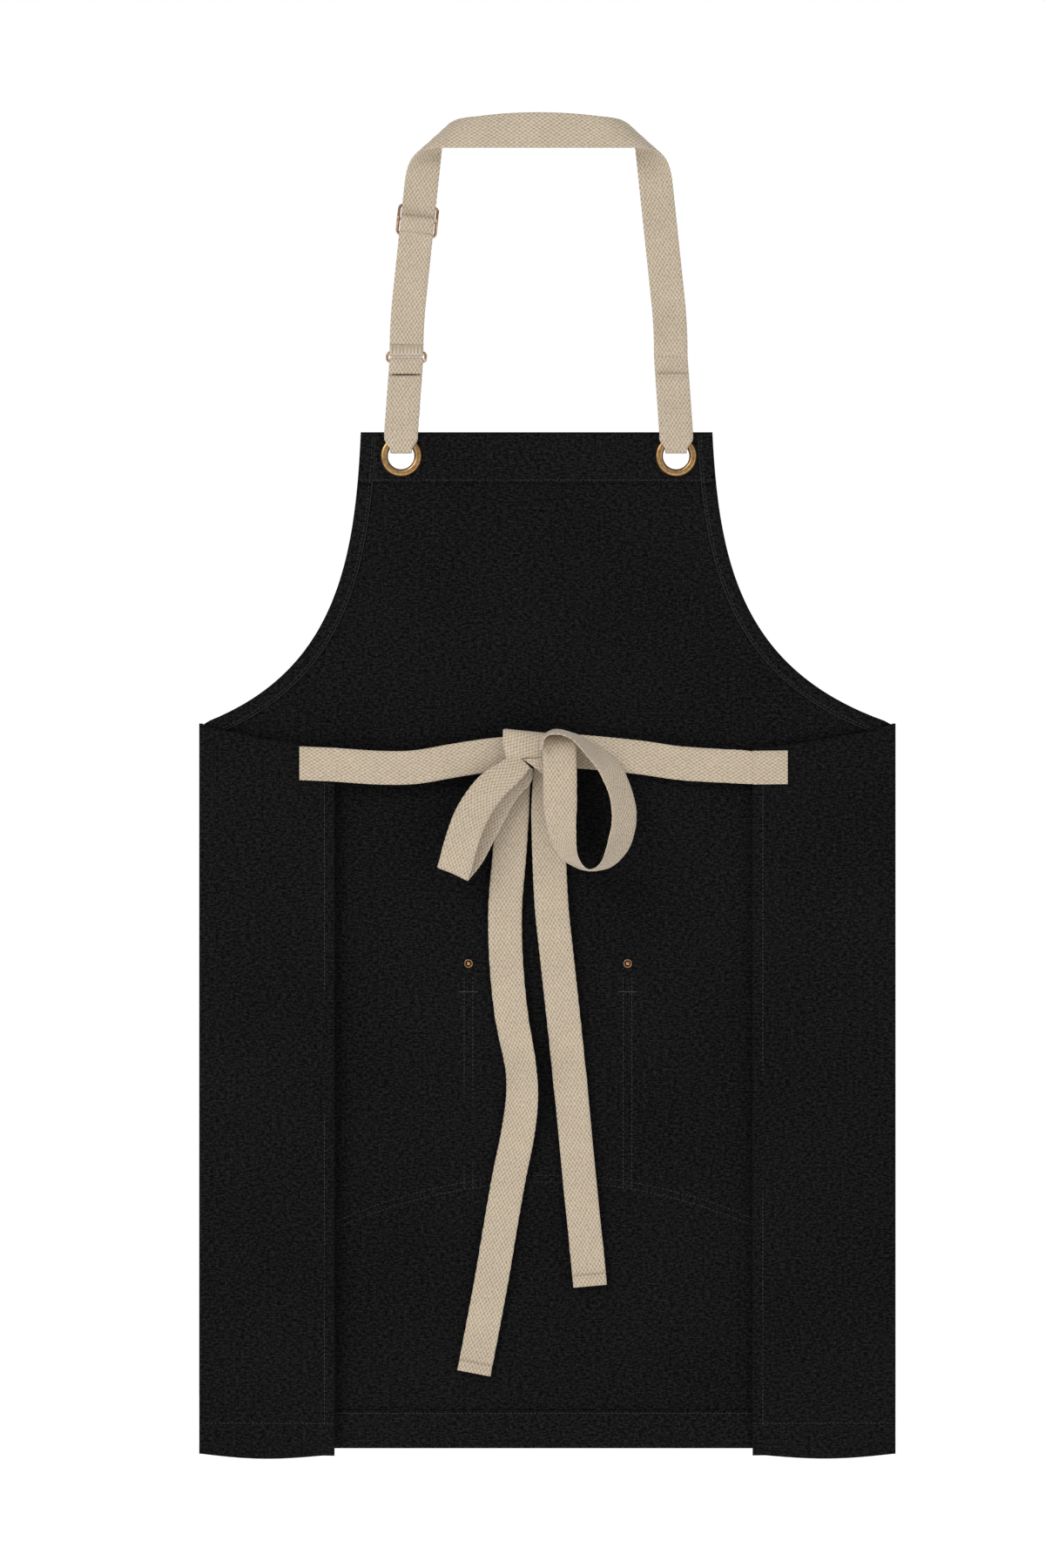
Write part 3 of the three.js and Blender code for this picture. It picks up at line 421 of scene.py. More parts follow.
def sweep(name, rows, material, body=None, thickness=WEB_T, edged=True, weave_turn=0.0):
    """Rows of (middle, width direction, face direction, width). weave_turn turns the weave."""
    turn_c, turn_s = math.cos(weave_turn), math.sin(weave_turn)
    verts, uvs = [], []
    run = 0.0
    for i, (middle, width, face, wide) in enumerate(rows):
        if i:
            run += float(np.linalg.norm(np.subtract(middle, rows[i - 1][0])))
        edge = selvedge(run) if edged else 0
        for across, up in SIDES:
            reach = across * (wide / 2 + edge * abs(across) ** 6)
            verts.append(np.add(middle, np.multiply(width, reach)) + np.multiply(face, up * thickness))
            u = across * wide / 2
            uvs.append((u * turn_c - run * turn_s, u * turn_s + run * turn_c))
    piece = new_piece(name, verts, tube_faces(len(rows), len(SIDES)), material, uvs)
    outward(piece)
    if body:
        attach(piece, body)
    return piece


def outward(piece):
    """Turns every face outwards, and keeps the end caps flat so that the ends stay crisp."""
    work = bmesh.new()
    work.from_mesh(piece.data)
    bmesh.ops.recalc_face_normals(work, faces=work.faces)
    for face in work.faces:
        face.smooth = len(face.verts) == 4
    work.to_mesh(piece.data)
    work.free()


def spline(points):
    """A smooth line through points, by distance: returns f(t) for t from 0 to 1."""
    p = np.array(points, float)
    steps = np.sqrt(np.maximum(np.linalg.norm(np.diff(p, axis=0), axis=1), 1e-9))
    knots = np.concatenate([[0], np.cumsum(steps)])
    before = 2 * p[0] - p[1]
    after = 2 * p[-1] - p[-2]
    q = np.vstack([before, p, after])
    k = np.concatenate([[-steps[0]], knots, [knots[-1] + steps[-1]]])

    def at(t):
        s = float(np.clip(t, 0, 1)) * knots[-1]
        i = min(max(int(np.searchsorted(knots, s, side="right")) - 1, 0), len(p) - 2) + 1
        a, b, c, d = q[i - 1], q[i], q[i + 1], q[i + 2]
        ta, tb, tc, td = k[i - 1], k[i], k[i + 1], k[i + 2]
        ab = (tb - s) / (tb - ta) * a + (s - ta) / (tb - ta) * b
        bc = (tc - s) / (tc - tb) * b + (s - tb) / (tc - tb) * c
        cd = (td - s) / (td - tc) * c + (s - tc) / (td - tc) * d
        abc = (tc - s) / (tc - ta) * ab + (s - ta) / (tc - ta) * bc
        bcd = (td - s) / (td - tb) * bc + (s - tb) / (td - tb) * cd
        return (tc - s) / (tc - tb) * abc + (s - tb) / (tc - tb) * bcd

    return at


def ease(t):
    """From 0 to 1, slowly at both ends."""
    t = min(max(t, 0), 1)
    return t * t * (3 - 2 * t)


def unit(v):
    v = np.array(v, float)
    return v / max(np.linalg.norm(v), 1e-12)


def along_route(route, count):
    """Rows of webbing. A station is (x, distance off the panel, z) in mm, width direction, part of width."""
    place = [np.array([x, BACK_Y / MM - off, z]) * MM for (x, off, z), *_ in route]
    widths = [unit((w[0], -w[1], w[2])) * (part[0] if part else 1) for _, w, *part in route]
    line = spline(place)
    share = spline_like(place, widths)
    rows = []
    for i in range(count + 1):
        t = i / count
        tangent = unit(line(min(t + 0.002, 1)) - line(max(t - 0.002, 0)))
        width = share(t)
        wide = min(float(np.linalg.norm(width)), 1) * WEB_W
        width = unit(width - tangent * np.dot(width, tangent))
        rows.append((line(t), width, unit(np.cross(tangent, width)), wide))
    return rows


def spline_like(place, values):
    steps = np.sqrt(np.linalg.norm(np.diff(np.array(place), axis=0), axis=1))
    knots = np.concatenate([[0], np.cumsum(steps)]) / np.sum(steps)
    values = np.array(values)
    return lambda t: np.array([np.interp(t, knots, values[:, k]) for k in range(3)])


def length_of(rows):
    return float(sum(np.linalg.norm(np.subtract(b[0], a[0])) for a, b in zip(rows, rows[1:])))


# %% [markdown]
# ## The bow: ties, loops and tails
# A bow is two straps. Each runs from its wing to the knot, round a loop and down as a tail. The knot holds
# them, so each stretch rides on its own body, and the stretches meet inside the knot. Each loop and tail is a
# free length of flat webbing. The right tie begins inside its own sewn end.

# %% Routes of the free webbing
LEFT_TIE = [
    [(-150.9, 11.6, -468.7), (0, 0, 1)], [(-115.3, 11.4, -470.9), (0, 0, 1)],
    [(-91.4, 11, -470.4), (-0.1, 0, 1)], [(-63, 11, -465.6), (-0.15, 0, 1)],
    [(-38, 11.6, -461.8), (-0.1, 0, 1)], [(-22, 12, -460.2), (0, 0, 1)],
]
RIGHT_TIE = [
    [(168.3, 6.9, -470.9), (0, 0, 1), 0.97], [(158.5, 7.15, -470.8), (0, 0, 1), 0.97],
    [(150, 7.5, -470.2), (0, 0, 1)], [(104.3, 8, -467.4), (0.05, 0, 1)], [(78, 8, -463.6), (0.12, 0, 1)],
    [(50, 8.4, -460.6), (0.1, 0, 1)], [(24, 10, -458.5), (0.05, 0, 1)], [(6, 11, -458), (0, 0, 1)],
]
LEFT_LOOP = [
    [(-12, 20, -465), (1, 0, -0.2), 0.7],
    [(-21, 22.8, -473.5), (0.85, 0, -0.5), 0.8], [(-36, 26, -486), (0.8, 0, -0.6), 0.95],
    [(-49.5, 29.2, -506), (0.88, 0, -0.47)], [(-57.6, 30.5, -528), (0.93, 0, -0.37)],
    [(-61.6, 29, -543), (0.93, 0, -0.37)], [(-63.2, 24.8, -548.6), (0.92, 0, -0.4)],
    [(-60.5, 20.6, -545), (0.92, 0, -0.4)], [(-52, 18, -534), (0.9, 0, -0.43)],
    [(-42, 17, -515), (0.88, 0, -0.47)], [(-25.5, 15.4, -486), (0.9, 0, -0.43)],
    [(-14.2, 14.7, -476.5), (1, 0, 0), 0.8], [(-13.6, 14.6, -470.4), (1, 0, 0), 0.7],
]
RIGHT_LOOP = [
    [(14, 17.5, -450.5), (1, 0, 0)], [(14.6, 23, -447.6), (1, 0, 0)], [(15.1, 27.6, -452), (1, 0, 0)],
    [(15.6, 28.6, -464), (1, 0, 0)], [(15.8, 28.8, -477), (1, 0, 0)], [(16, 30, -498), (0.99, 0.1, 0)],
    [(17.8, 32, -520), (0.82, 0.57, 0)], [(24, 33.5, -537), (0.5, 0.85, 0)],
    [(36, 33, -546.4), (0.05, 1, 0)], [(49, 31, -541.5), (-0.45, 0.89, 0)],
    [(59.5, 29, -526), (-0.7, 0.7, 0.05)], [(63.2, 27.5, -504), (-0.74, 0.67, -0.05)],
    [(55, 27, -476), (-0.6, 0.72, -0.35)], [(36.5, 29, -456), (-0.22, 0.92, -0.33)],
    [(24, 30.4, -447.2), (-0.05, 0.98, -0.16), 0.95], [(11, 30.5, -444.2), (0, 0.99, -0.12), 0.9],
    [(4.4, 29, -448), (0.1, 0.98, 0), 0.85], [(1.5, 27, -455), (0.1, 0.95, 0), 0.8],
]
LEFT_TAIL = [
    [(-14.6, 6, -471), (1, 0, 0), 0.8], [(-17.5, 6, -485), (1, 0, 0), 0.9], [(-19.4, 5.8, -503), (1, 0, 0)],
    [(-21.6, 5.5, -535.2), (1, 0, 0)], [(-24.7, 4.8, -573.3), (1, 0, 0)],
    [(-24.2, 4.8, -611.4), (1, 0.05, 0)], [(-20.3, 5.5, -653.4), (1, 0.15, 0)],
    [(-13, 8, -695), (0.9, 0.4, 0)], [(-12.4, 8, -716.7), (0.95, 0.3, 0)],
    [(-15.8, 6, -743.9), (1, 0.1, 0)], [(-21.5, 5, -772), (1, 0, 0)], [(-27.5, 4.6, -805.9), (1, 0, 0)],
    [(-33.9, 4.4, -844.6), (1, 0, 0)], [(-40.4, 4.4, -880), (1, 0, 0)], [(-48, 4.4, -919.6), (1, 0, 0)],
]
RIGHT_TAIL = [
    [(6.4, 8.2, -469.9), (1, 0, 0), 0.8], [(6.6, 8.2, -485), (1, 0, 0), 0.9], [(7, 8.1, -503), (1, 0, 0)],
    [(7.8, 7.6, -535.2), (1, 0, 0)], [(9.6, 7, -573.3), (1, 0, 0)], [(13.5, 6, -611), (1, 0, 0)],
    [(18.1, 5.4, -653.4), (1, 0, 0)], [(23.9, 5, -709), (1, 0, 0)], [(30.4, 4.8, -776.8), (1, 0, 0)],
    [(36.6, 4.6, -838), (1, 0, 0)], [(38.2, 4.6, -855), (1, 0, 0)],
]


# %% Sweep the loops and tails
def free_webbing(name, route, count, body):
    rows = along_route(route, count)
    piece = dress(sweep(name + "_webbing", rows, TIES, body), "tie_webbing", name)
    path = [tuple(r[0]) for r in rows]
    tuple(path[0])
    print(name, "length", round(length_of(rows), 4))
    return rows


free_webbing("left_loop", LEFT_LOOP, 150, "left_loop")
free_webbing("right_loop", RIGHT_LOOP, 170, "right_loop")
left_tail_rows = free_webbing("left_tail", LEFT_TAIL, 260, "left_tail")
right_tail_rows = free_webbing("right_tail", RIGHT_TAIL, 220, "right_tail")


def tail_hem(name, rows, turned=9 * MM):
    """The cut end is turned up on the wearer's side: a second layer over the last few millimetres."""
    layer, run = [], 0.0
    for row, after in zip(rows[::-1], rows[-2::-1]):
        layer.append((row[0] - (0, WEB_T * 0.92, 0), row[1], row[2], row[3] * 0.985))
        run += float(np.linalg.norm(row[0] - after[0]))
        if run > turned:
            break
    dress(sweep(name + "_hem", layer[::-1], TIES, name, thickness=1.1 * MM), "tie_webbing")
    return layer


left_tail_hem = tail_hem("left_tail", left_tail_rows)
right_tail_hem = tail_hem("right_tail", right_tail_rows)
dress(sweep("right_tie_webbing", along_route(RIGHT_TIE, 110), TIES, "bow"), "tie_webbing", "right_tie")

# %% [markdown]
# ## The knot
# The knot is webbing wrapped once round the others. It is a flattened band: its section is a rounded box,
# pulled in at its foot where it turns under, and its two ends nearly meet at the back, out of sight.


# %% Knot
KNOT_MIDDLE = (KNOT_LOW + KNOT_HIGH) / 2
KNOT_DEEP = (KNOT_HIGH.y - KNOT_LOW.y) / 2 - 0.8 * MM
KNOT_TALL = 10.4 * MM


def knot():
    rows = []
    steps = 96
    for i in range(steps + 1):
        a = math.pi + 0.03 + (2 * math.pi - 0.06) * i / steps
        c, s = math.cos(a), math.sin(a)
        y = -KNOT_DEEP * math.copysign(abs(c) ** 0.5, c)
        z = KNOT_TALL * math.copysign(abs(s) ** 0.6, s)
        foot = max(-s, 0)
        middle = np.array([KNOT_MIDDLE.x - 1.5 * MM + 1.5 * MM * foot, KNOT_MIDDLE.y + y,
                           KNOT_MIDDLE.z + 3.3 * MM + z])
        face = unit((0, -c / KNOT_DEEP, s / KNOT_TALL))
        width = unit((1, 0, -0.1 + 0.1 * foot))
        rows.append((middle, width, face, 34 * MM - 3 * MM * foot))
    piece = sweep("bow_knot_wrap", rows, TIES, "bow", edged=False, weave_turn=math.radians(38))
    dress(piece, "tie_webbing", "bow_knot")


def tuck(name, corners, off, thickness=WEB_T):
    """A small flat fold of webbing: corners are (x, z) in mm, seen from the wearer's side."""
    work = bmesh.new()
    y = BACK_Y - off * MM
    ring = [work.verts.new((x * MM, y, z * MM)) for x, z in corners]
    face = work.faces.new(ring)
    made = bmesh.ops.extrude_face_region(work, geom=[face])
    for element in made["geom"]:
        if isinstance(element, bmesh.types.BMVert):
            element.co.y -= thickness
    bmesh.ops.recalc_face_normals(work, faces=work.faces)
    bmesh.ops.bevel(work, geom=list(work.edges), offset=0.45 * MM, segments=2, affect="EDGES", profile=0.5)
    mesh = bpy.data.meshes.new(name)
    work.to_mesh(mesh)
    work.free()
    layer = mesh.uv_layers.new(name="weave")
    for loop in mesh.loops:
        at = mesh.vertices[loop.vertex_index].co
        layer.data[loop.index].uv = ((at.x + at.z) * 0.7071, (at.z - at.x) * 0.7071)
    mesh.materials.append(TIES)
    piece = put(name, mesh)
    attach(piece, "bow")


knot()
tuck("bow_knot_tuck", [(-11.5, -464.6), (9, -463), (9, -478), (3, -475.2)], 20.5)
print("knot", KNOT_LOW, KNOT_HIGH)

# %% [markdown]
# ## The neck strap
# One webbing makes the band behind the neck and both legs. At each shoulder it rolls round a slanting
# cylinder, which turns it from level to hanging without stretching it: the same rule as the solid's, at a
# finer step. A slight crown on the band stands for the softness of its upper edge.

# %% Strap rule
LEG_RADIUS = LEG_PLUMB / LEG_TILT
LEG_STRAIGHT = (-TOP_BAR_Z - LEG_RADIUS * math.sin(LEG_TILT)) / math.cos(LEG_TILT)
LEG_LENGTH = LEG_STRAIGHT + LEG_PLUMB


def leg_line(q):
    straight = min(q, LEG_STRAIGHT)
    lean = LEG_TILT - max(q - LEG_STRAIGHT, 0) / LEG_RADIUS
    out = SHOULDER_X + straight * math.sin(LEG_TILT) + LEG_RADIUS * (math.cos(lean) - math.cos(LEG_TILT))
    z = -straight * math.cos(LEG_TILT) - LEG_RADIUS * (math.sin(LEG_TILT) - math.sin(lean))
    return out, z, lean


def strap_point(p, w, side):
    slant = (math.pi / 2 - LEG_TILT) / 2
    ax, az = math.cos(slant), -math.sin(slant)
    ox, oz = math.sin(slant), math.cos(slant)
    fx, fz = p - SHOULDER_X, w
    along = fx * ax + fz * az
    rolled = fx * ox + fz * oz + math.pi / 2 * FOLD_R
    angle = min(max(rolled / FOLD_R, 0), math.pi)
    beyond = rolled - angle * FOLD_R
    across = FOLD_R * math.sin(angle) + beyond * math.cos(angle) - math.pi / 2 * FOLD_R
    out = SHOULDER_X + along * ax + across * ox
    z = along * az + across * oz
    q = p - SHOULDER_X
    if q > LEG_STRAIGHT:
        line_out, line_z, lean = leg_line(q)
        out = line_out - w * math.cos(lean)
        z = line_z - w * math.sin(lean)
    y = BAND_Y + FOLD_R * (1 - math.cos(angle))
    normal = (side * math.sin(angle) * ox, -math.cos(angle), math.sin(angle) * oz)
    return np.array([side * out, y, z]), np.array(normal)


# %% Strap mesh
ACROSS = [(-0.5, 0), (-0.48, 1), (-0.43, 1), (-0.25, 1), (0, 1), (0.25, 1), (0.43, 1), (0.48, 1), (0.5, 0)]


def strap_mesh(name, rows):
    """Rows of (points across, face directions across, distance along). Both faces share the edge points."""
    half = WEB_T / 2
    n = len(ACROSS)
    verts, uvs = [], []
    for points, normals, run in rows:
        ring = [(k, 1) for k in range(n)] + [(k, -1) for k in range(n - 2, 0, -1)]
        edge = unit(points[-1] - points[0]) * selvedge(run)
        for k, up in ring:
            w, lift = ACROSS[k]
            outward_step = edge * ((k == n - 1) - (k == 0))
            squeeze = 0.72 if k in (1, n - 2) else 1
            verts.append(points[k] + normals[k] * half * up * lift * squeeze + outward_step)
            uvs.append((w * WEB_W, run))
    piece = new_piece(name, verts, tube_faces(len(rows), 2 * n - 2), STRAP, uvs)
    outward(piece)
    return piece


def strap_row(p, side, shift=0.0):
    points, normals = [], []
    for w, _ in ACROSS:
        at, normal = strap_point(p, -w * WEB_W, side)
        at[1] -= shift
        points.append(at)
        normals.append(normal)
    return points, normals, side * p


def crowned(row):
    """The band's upper edge stands in a low arch between the shoulders."""
    points, normals, run = row
    for k, (w, _) in enumerate(ACROSS):
        x = points[k][0] / MM
        calm = min(max((66 - abs(x)) / 22, 0), 1)
        points[k][2] += (1.4 - 3.6 * (x / 50) ** 2) * calm * (0.5 - w) * MM
    return points, normals, run


RING_HUG = 0.45 * MM
REACH = SHOULDER_X + LEG_LENGTH
SLIDER_DROP = 65.5 * MM
LEG_SEAM = SHOULDER_X + SLIDER_DROP + 4 * MM


def right_leg_row(p):
    return strap_row(p, 1, RING_BEND * ease((p - SHOULDER_X - LEG_STRAIGHT) / (LEG_PLUMB - 5 * MM)))


def steps_between(a, b, step=1.5 * MM):
    count = max(round(abs(b - a) / step), 1)
    return [a + (b - a) * i / count for i in range(count + 1)]


def left_leg():
    """The lower left leg, its end turned round the ring's upper bar. Its seam hides behind the slider."""
    turn = [(RING_Y - RING_BEND, TOP_BAR_Z + 6 * MM, (0, -1, 0))]
    for i in range(17):
        a = math.pi * (1 - i / 16)
        turn.append((RING_Y + RING_BEND * math.cos(a), TOP_BAR_Z - (RING_BEND + RING_HUG) * math.sin(a),
                     (0, math.cos(a), -math.sin(a))))
    rows = []
    run = -REACH - 0.012
    for y, z, normal in turn:
        points = [np.array([RING_X + w * WEB_W, y, z]) for w, _ in ACROSS]
        rows.append((points, [np.array(normal)] * len(ACROSS), run))
        run += 0.7 * MM
    rows += [strap_row(p, -1) for p in steps_between(REACH - 1.5 * MM, LEG_SEAM)]
    piece = strap_mesh("left_leg_webbing", rows)
    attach(piece, "neck")


def neck_strap():
    """The rest of the strap in one sweep, down to the ring's level on the right."""
    rows = [crowned(strap_row(p, -1)) for p in steps_between(LEG_SEAM, 0)]
    rows += [crowned(right_leg_row(p)) for p in steps_between(1.5 * MM, REACH + 3.2 * MM)]
    piece = strap_mesh("neck_strap_webbing", rows)
    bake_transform(piece)
    dress(piece, "strap_webbing", "neck_strap")


left_leg()
neck_strap()
print("leg length", LEG_LENGTH, "straight", LEG_STRAIGHT)

# %% [markdown]
# ## Slider, second layer and ring
# The strap's end is looped round the middle bar of a three-bar slider, so sliding it changes the length. The
# layer between slider and ring shortens as the slider moves.

# %% Slider places
SLIDER_WIRE_R = 1.15 * MM
SLIDER_GAP = 0.35 * MM
SLIDER_BAR_Y = -(WEB_T / 2 + SLIDER_GAP + WEB_T + GAP + SLIDER_WIRE_R)
SLIDER_END_Y = WEB_T / 2 + SLIDER_GAP + SLIDER_WIRE_R
LOOP_BEND = SLIDER_WIRE_R + GAP + WEB_T / 2
LOOP_DOWN = 8 * MM
slider_out, slider_z, _ = leg_line(SLIDER_DROP)
UP = np.array([math.sin(LEG_TILT), 0, math.cos(LEG_TILT)])
OUT = np.array([math.cos(LEG_TILT), 0, -math.sin(LEG_TILT)])
SLIDER_AT = np.array([-slider_out, LEG_Y, slider_z])


def in_slider(x, y, z):
    return SLIDER_AT + OUT * x + np.array([0, y, 0]) + UP * z


def wire(name, points, radius, material, body, closed=True, sides=14):
    p = [np.array(q, float) for q in points]
    n = len(p)
    verts = []
    for i in range(n):
        a = p[(i - 1) % n] if closed or i else p[0]
        b = p[(i + 1) % n] if closed or i < n - 1 else p[-1]
        tangent = unit(b - a)
        u = unit(np.cross(tangent, (0, 1, 0)))
        v = np.cross(u, tangent)
        for k in range(sides):
            angle = 2 * math.pi * k / sides
            verts.append(p[i] + radius * (u * math.cos(angle) + v * math.sin(angle)))
    piece = new_piece(name, verts, tube_faces(n, sides, closed), material)
    outward(piece)
    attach(piece, body)
    return piece


def rounded_loop(half_w, half_h, corner, steps=10, side_steps=24):
    points = []
    for sx, sz, start in ((1, 1, 0), (-1, 1, 90), (-1, -1, 180), (1, -1, 270)):
        for i in range(steps + 1):
            a = math.radians(start + 90 * i / steps)
            points.append((sx * (half_w - corner) + corner * math.cos(a),
                           sz * (half_h - corner) + corner * math.sin(a)))
        if start in (90, 270):
            reach = half_h - corner
            points += [(sx * half_w, sz * reach * (1 - 2 * i / side_steps)) for i in range(1, side_steps)]
    return points


# %% Slider, bar, ring
def slider():
    half_w, half_h = WEB_W / 2 + 0.6 * MM + SLIDER_WIRE_R, 12 * MM - SLIDER_WIRE_R
    frame_points = []
    for x, z in rounded_loop(half_w, half_h, 3 * MM):
        y = SLIDER_END_Y + (SLIDER_BAR_Y - SLIDER_END_Y) * math.cos(math.pi / 2 * z / half_h) ** 2
        frame_points.append(in_slider(x, y, z))
    made = wire("slider_frame_wire", frame_points, SLIDER_WIRE_R, COPPER, "slider")
    dress(made, "copper", "slider_frame")
    half_bar = half_w - SLIDER_WIRE_R - 0.1 * MM
    bar = [in_slider(half_bar * (2 * i / 12 - 1), SLIDER_BAR_Y, 0) for i in range(13)]
    made = wire("slider_bar_wire", bar, SLIDER_WIRE_R, COPPER, "slider", closed=False)
    dress(made, "copper", "slider_bar")


def slider_loop():
    line = [(SLIDER_BAR_Y - LOOP_BEND, -LOOP_DOWN - 1.2 * MM), (SLIDER_BAR_Y - LOOP_BEND, -LOOP_DOWN / 2)]
    for i in range(17):
        a = math.pi * (1 - i / 16)
        line.append((SLIDER_BAR_Y + LOOP_BEND * math.cos(a), LOOP_BEND * math.sin(a)))
    line += [(SLIDER_BAR_Y + LOOP_BEND, -LOOP_DOWN / 2), (SLIDER_BAR_Y + LOOP_BEND, -LOOP_DOWN - 1 * MM)]
    rows = []
    for i, (y, z) in enumerate(line):
        y0, z0 = line[max(i - 1, 0)]
        y1, z1 = line[min(i + 1, len(line) - 1)]
        tangent = unit(np.array([0, y1 - y0, 0]) + UP * (z1 - z0))
        rows.append((in_slider(0, y, z), OUT, unit(np.cross(tangent, OUT)), WEB_W))
    piece = sweep("strap_end_webbing", rows, STRAP, "slider")
    dress(piece, "strap_webbing", "strap_end_loop")


def strap_return():
    top, low = SLIDER_DROP + LOOP_DOWN + 1.0 * MM, LEG_LENGTH - 6.1 * MM
    low_y, top_y = RING_Y - RING_BEND, LEG_Y + SLIDER_BAR_Y - LOOP_BEND
    rows = []
    for i in range(61):
        t = i / 60
        out, z, lean = leg_line(low + (top - low) * t)
        middle = np.array([-out, low_y + (top_y - low_y) * ease(t), z])
        width = np.array([math.cos(lean), 0, -math.sin(lean)])
        rows.append((middle, width, np.array([0, -1, 0]), WEB_W))
    piece = sweep("strap_return_webbing", rows, STRAP)
    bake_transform(piece)
    dress(piece, "strap_webbing", "strap_return")


def oval_ring():
    centre = np.array([RING_X, RING_Y, (TOP_BAR_Z + LOW_BAR_Z) / 2])
    half_w = (RING_HIGH.x - RING_LOW.x) / 2 - RING_WIRE_R
    half_h = (TOP_BAR_Z - LOW_BAR_Z) / 2
    points = [centre + np.array([x, 0, z]) for x, z in rounded_loop(half_w, half_h, 2.2 * MM)]
    made = wire("oval_ring_wire", points, RING_WIRE_R, COPPER, "ring")
    dress(made, "copper", "oval_ring")


slider()
slider_loop()
strap_return()
oval_ring()
print("slider at", SLIDER_AT)

# %% [markdown]
# ## Anchor loops
# On the left a short webbing loop ties the ring to the grommet. On the right there is no ring: the strap
# itself goes on through the grommet. In the hole the webbing is drawn together, so the sweep narrows there.

# %% Anchors
FLANGE_OUT, LIP_OUT = 2.0 * MM, 2.3 * MM
HEM_Y = BACK_Y - GAP - CLOTH_T
BACK_LAYER = HEM_Y - FLANGE_OUT - GAP - WEB_T / 2
FRONT_LAYER = FRONT_Y + LIP_OUT + GAP + WEB_T / 2
GROMMET_Z = GROMMETS[0][1]
HOLE_FLOOR = GROMMET_Z + 2 * MM + WEB_T / 2
DRAWN_IN = 0.36


def anchor(name, line, top_x, hole_x):
    at = spline([(y, z, 0) for y, z in line])
    top_z = max(z for _, z in line)
    rows = []
    for i in range(161):
        t = i / 160
        here, ahead, back = at(t), at(min(t + 0.004, 1)), at(max(t - 0.004, 0))
        y, z = here[0], here[1]
        wide = WEB_W * (1 - DRAWN_IN * ease((GROMMET_Z + 13 * MM - z) / (9 * MM)))
        lean = min(max((z - BIB_TOP) / max(top_z - BIB_TOP, 1e-6), 0), 1)
        tangent = unit((0, ahead[0] - back[0], ahead[1] - back[1]))
        rows.append((np.array([hole_x + (top_x - hole_x) * lean, y, z]), np.array([1.0, 0, 0]),
                     unit(np.cross(tangent, (1, 0, 0))), wide))
    piece = sweep(name + "_webbing", rows, STRAP)
    if name.startswith("left"):
        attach(piece, "apron")
    else:
        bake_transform(piece)
    dress(piece, "anchor_webbing", name)


def anchors():
    turn = [(FRONT_LAYER, BIB_TOP), (FRONT_LAYER, HOLE_FLOOR + 3 * MM), (FRONT_LAYER - 1.6 * MM, HOLE_FLOOR),
            (RING_Y, HOLE_FLOOR), (BACK_LAYER + 1.6 * MM, HOLE_FLOOR), (BACK_LAYER, HOLE_FLOOR + 3 * MM),
            (BACK_LAYER, BIB_TOP)]
    ring_turn = []
    for i in range(7):
        a = math.pi * i / 6
        ring_turn.append((RING_Y - RING_BEND * math.cos(a), LOW_BAR_Z + (RING_BEND + RING_HUG) * math.sin(a)))
    start = (RING_Y - RING_BEND, LOW_BAR_Z - 9 * MM)
    end = (RING_Y - RING_BEND - 0.35 * MM, LOW_BAR_Z - 10.5 * MM)
    anchor("left_anchor_loop", [start, *ring_turn, *turn, end], RING_X, GROMMETS[0][0])
    down = [(RING_Y, TOP_BAR_Z - 3.2 * MM), (RING_Y + 0.2 * MM, TOP_BAR_Z - 12 * MM),
            (RING_Y + 1.3 * MM, TOP_BAR_Z - 32 * MM)]
    up = [(RING_Y - 1.9 * MM, TOP_BAR_Z - 32 * MM), (RING_Y - 1.8 * MM, TOP_BAR_Z - 16 * MM)]
    anchor("right_anchor_loop", [*down, *turn, *up], -RING_X, GROMMETS[1][0])


anchors()

# %% [markdown]
# ## Canvas
# The cloth is a grid laid between two edges. Solidify gives it its thickness, and small slow waves keep it
# from looking like a plate. A grommet's hole is opened by dropping the faces inside it and rounding its rim.


# %% Cloth helpers
def bezier(a, b, c, d, t):
    s = 1 - t
    return tuple(s ** 3 * a[k] + 3 * s * s * t * b[k] + 3 * s * t * t * c[k] + t ** 3 * d[k] for k in (0, 1))


def armhole(corner, fold):
    span = fold - corner
    ends = [(corner, BIB_TOP), (corner + 0.036 * span, BIB_TOP - 98 * MM),
            (corner + 0.165 * span, WAIST_Z + 37 * MM), (fold, WAIST_Z)]
    return [bezier(*ends, i / 80) for i in range(81)]


LEFT_ARM = armhole(BIB_LEFT, LEFT_FOLD)
RIGHT_ARM = armhole(BIB_RIGHT, RIGHT_FOLD)


def edge_x(arm, z, fold):
    if z <= WAIST_Z:
        return fold
    zs = [p[1] for p in arm][::-1]
    xs = [p[0] for p in arm][::-1]
    return float(np.interp(z, zs, xs))


def apply(piece, modifier):
    """Makes what a modifier shows into the piece's own mesh."""
    depsgraph = bpy.context.evaluated_depsgraph_get()
    mesh = bpy.data.meshes.new_from_object(piece.evaluated_get(depsgraph))
    piece.modifiers.remove(modifier)
    piece.data = mesh


def away(verts, face, x, z):
    """How far the middle of a face is from a hole's middle."""
    return math.hypot(sum(verts[k][0] for k in face) / 4 - x, sum(verts[k][2] for k in face) / 4 - z)


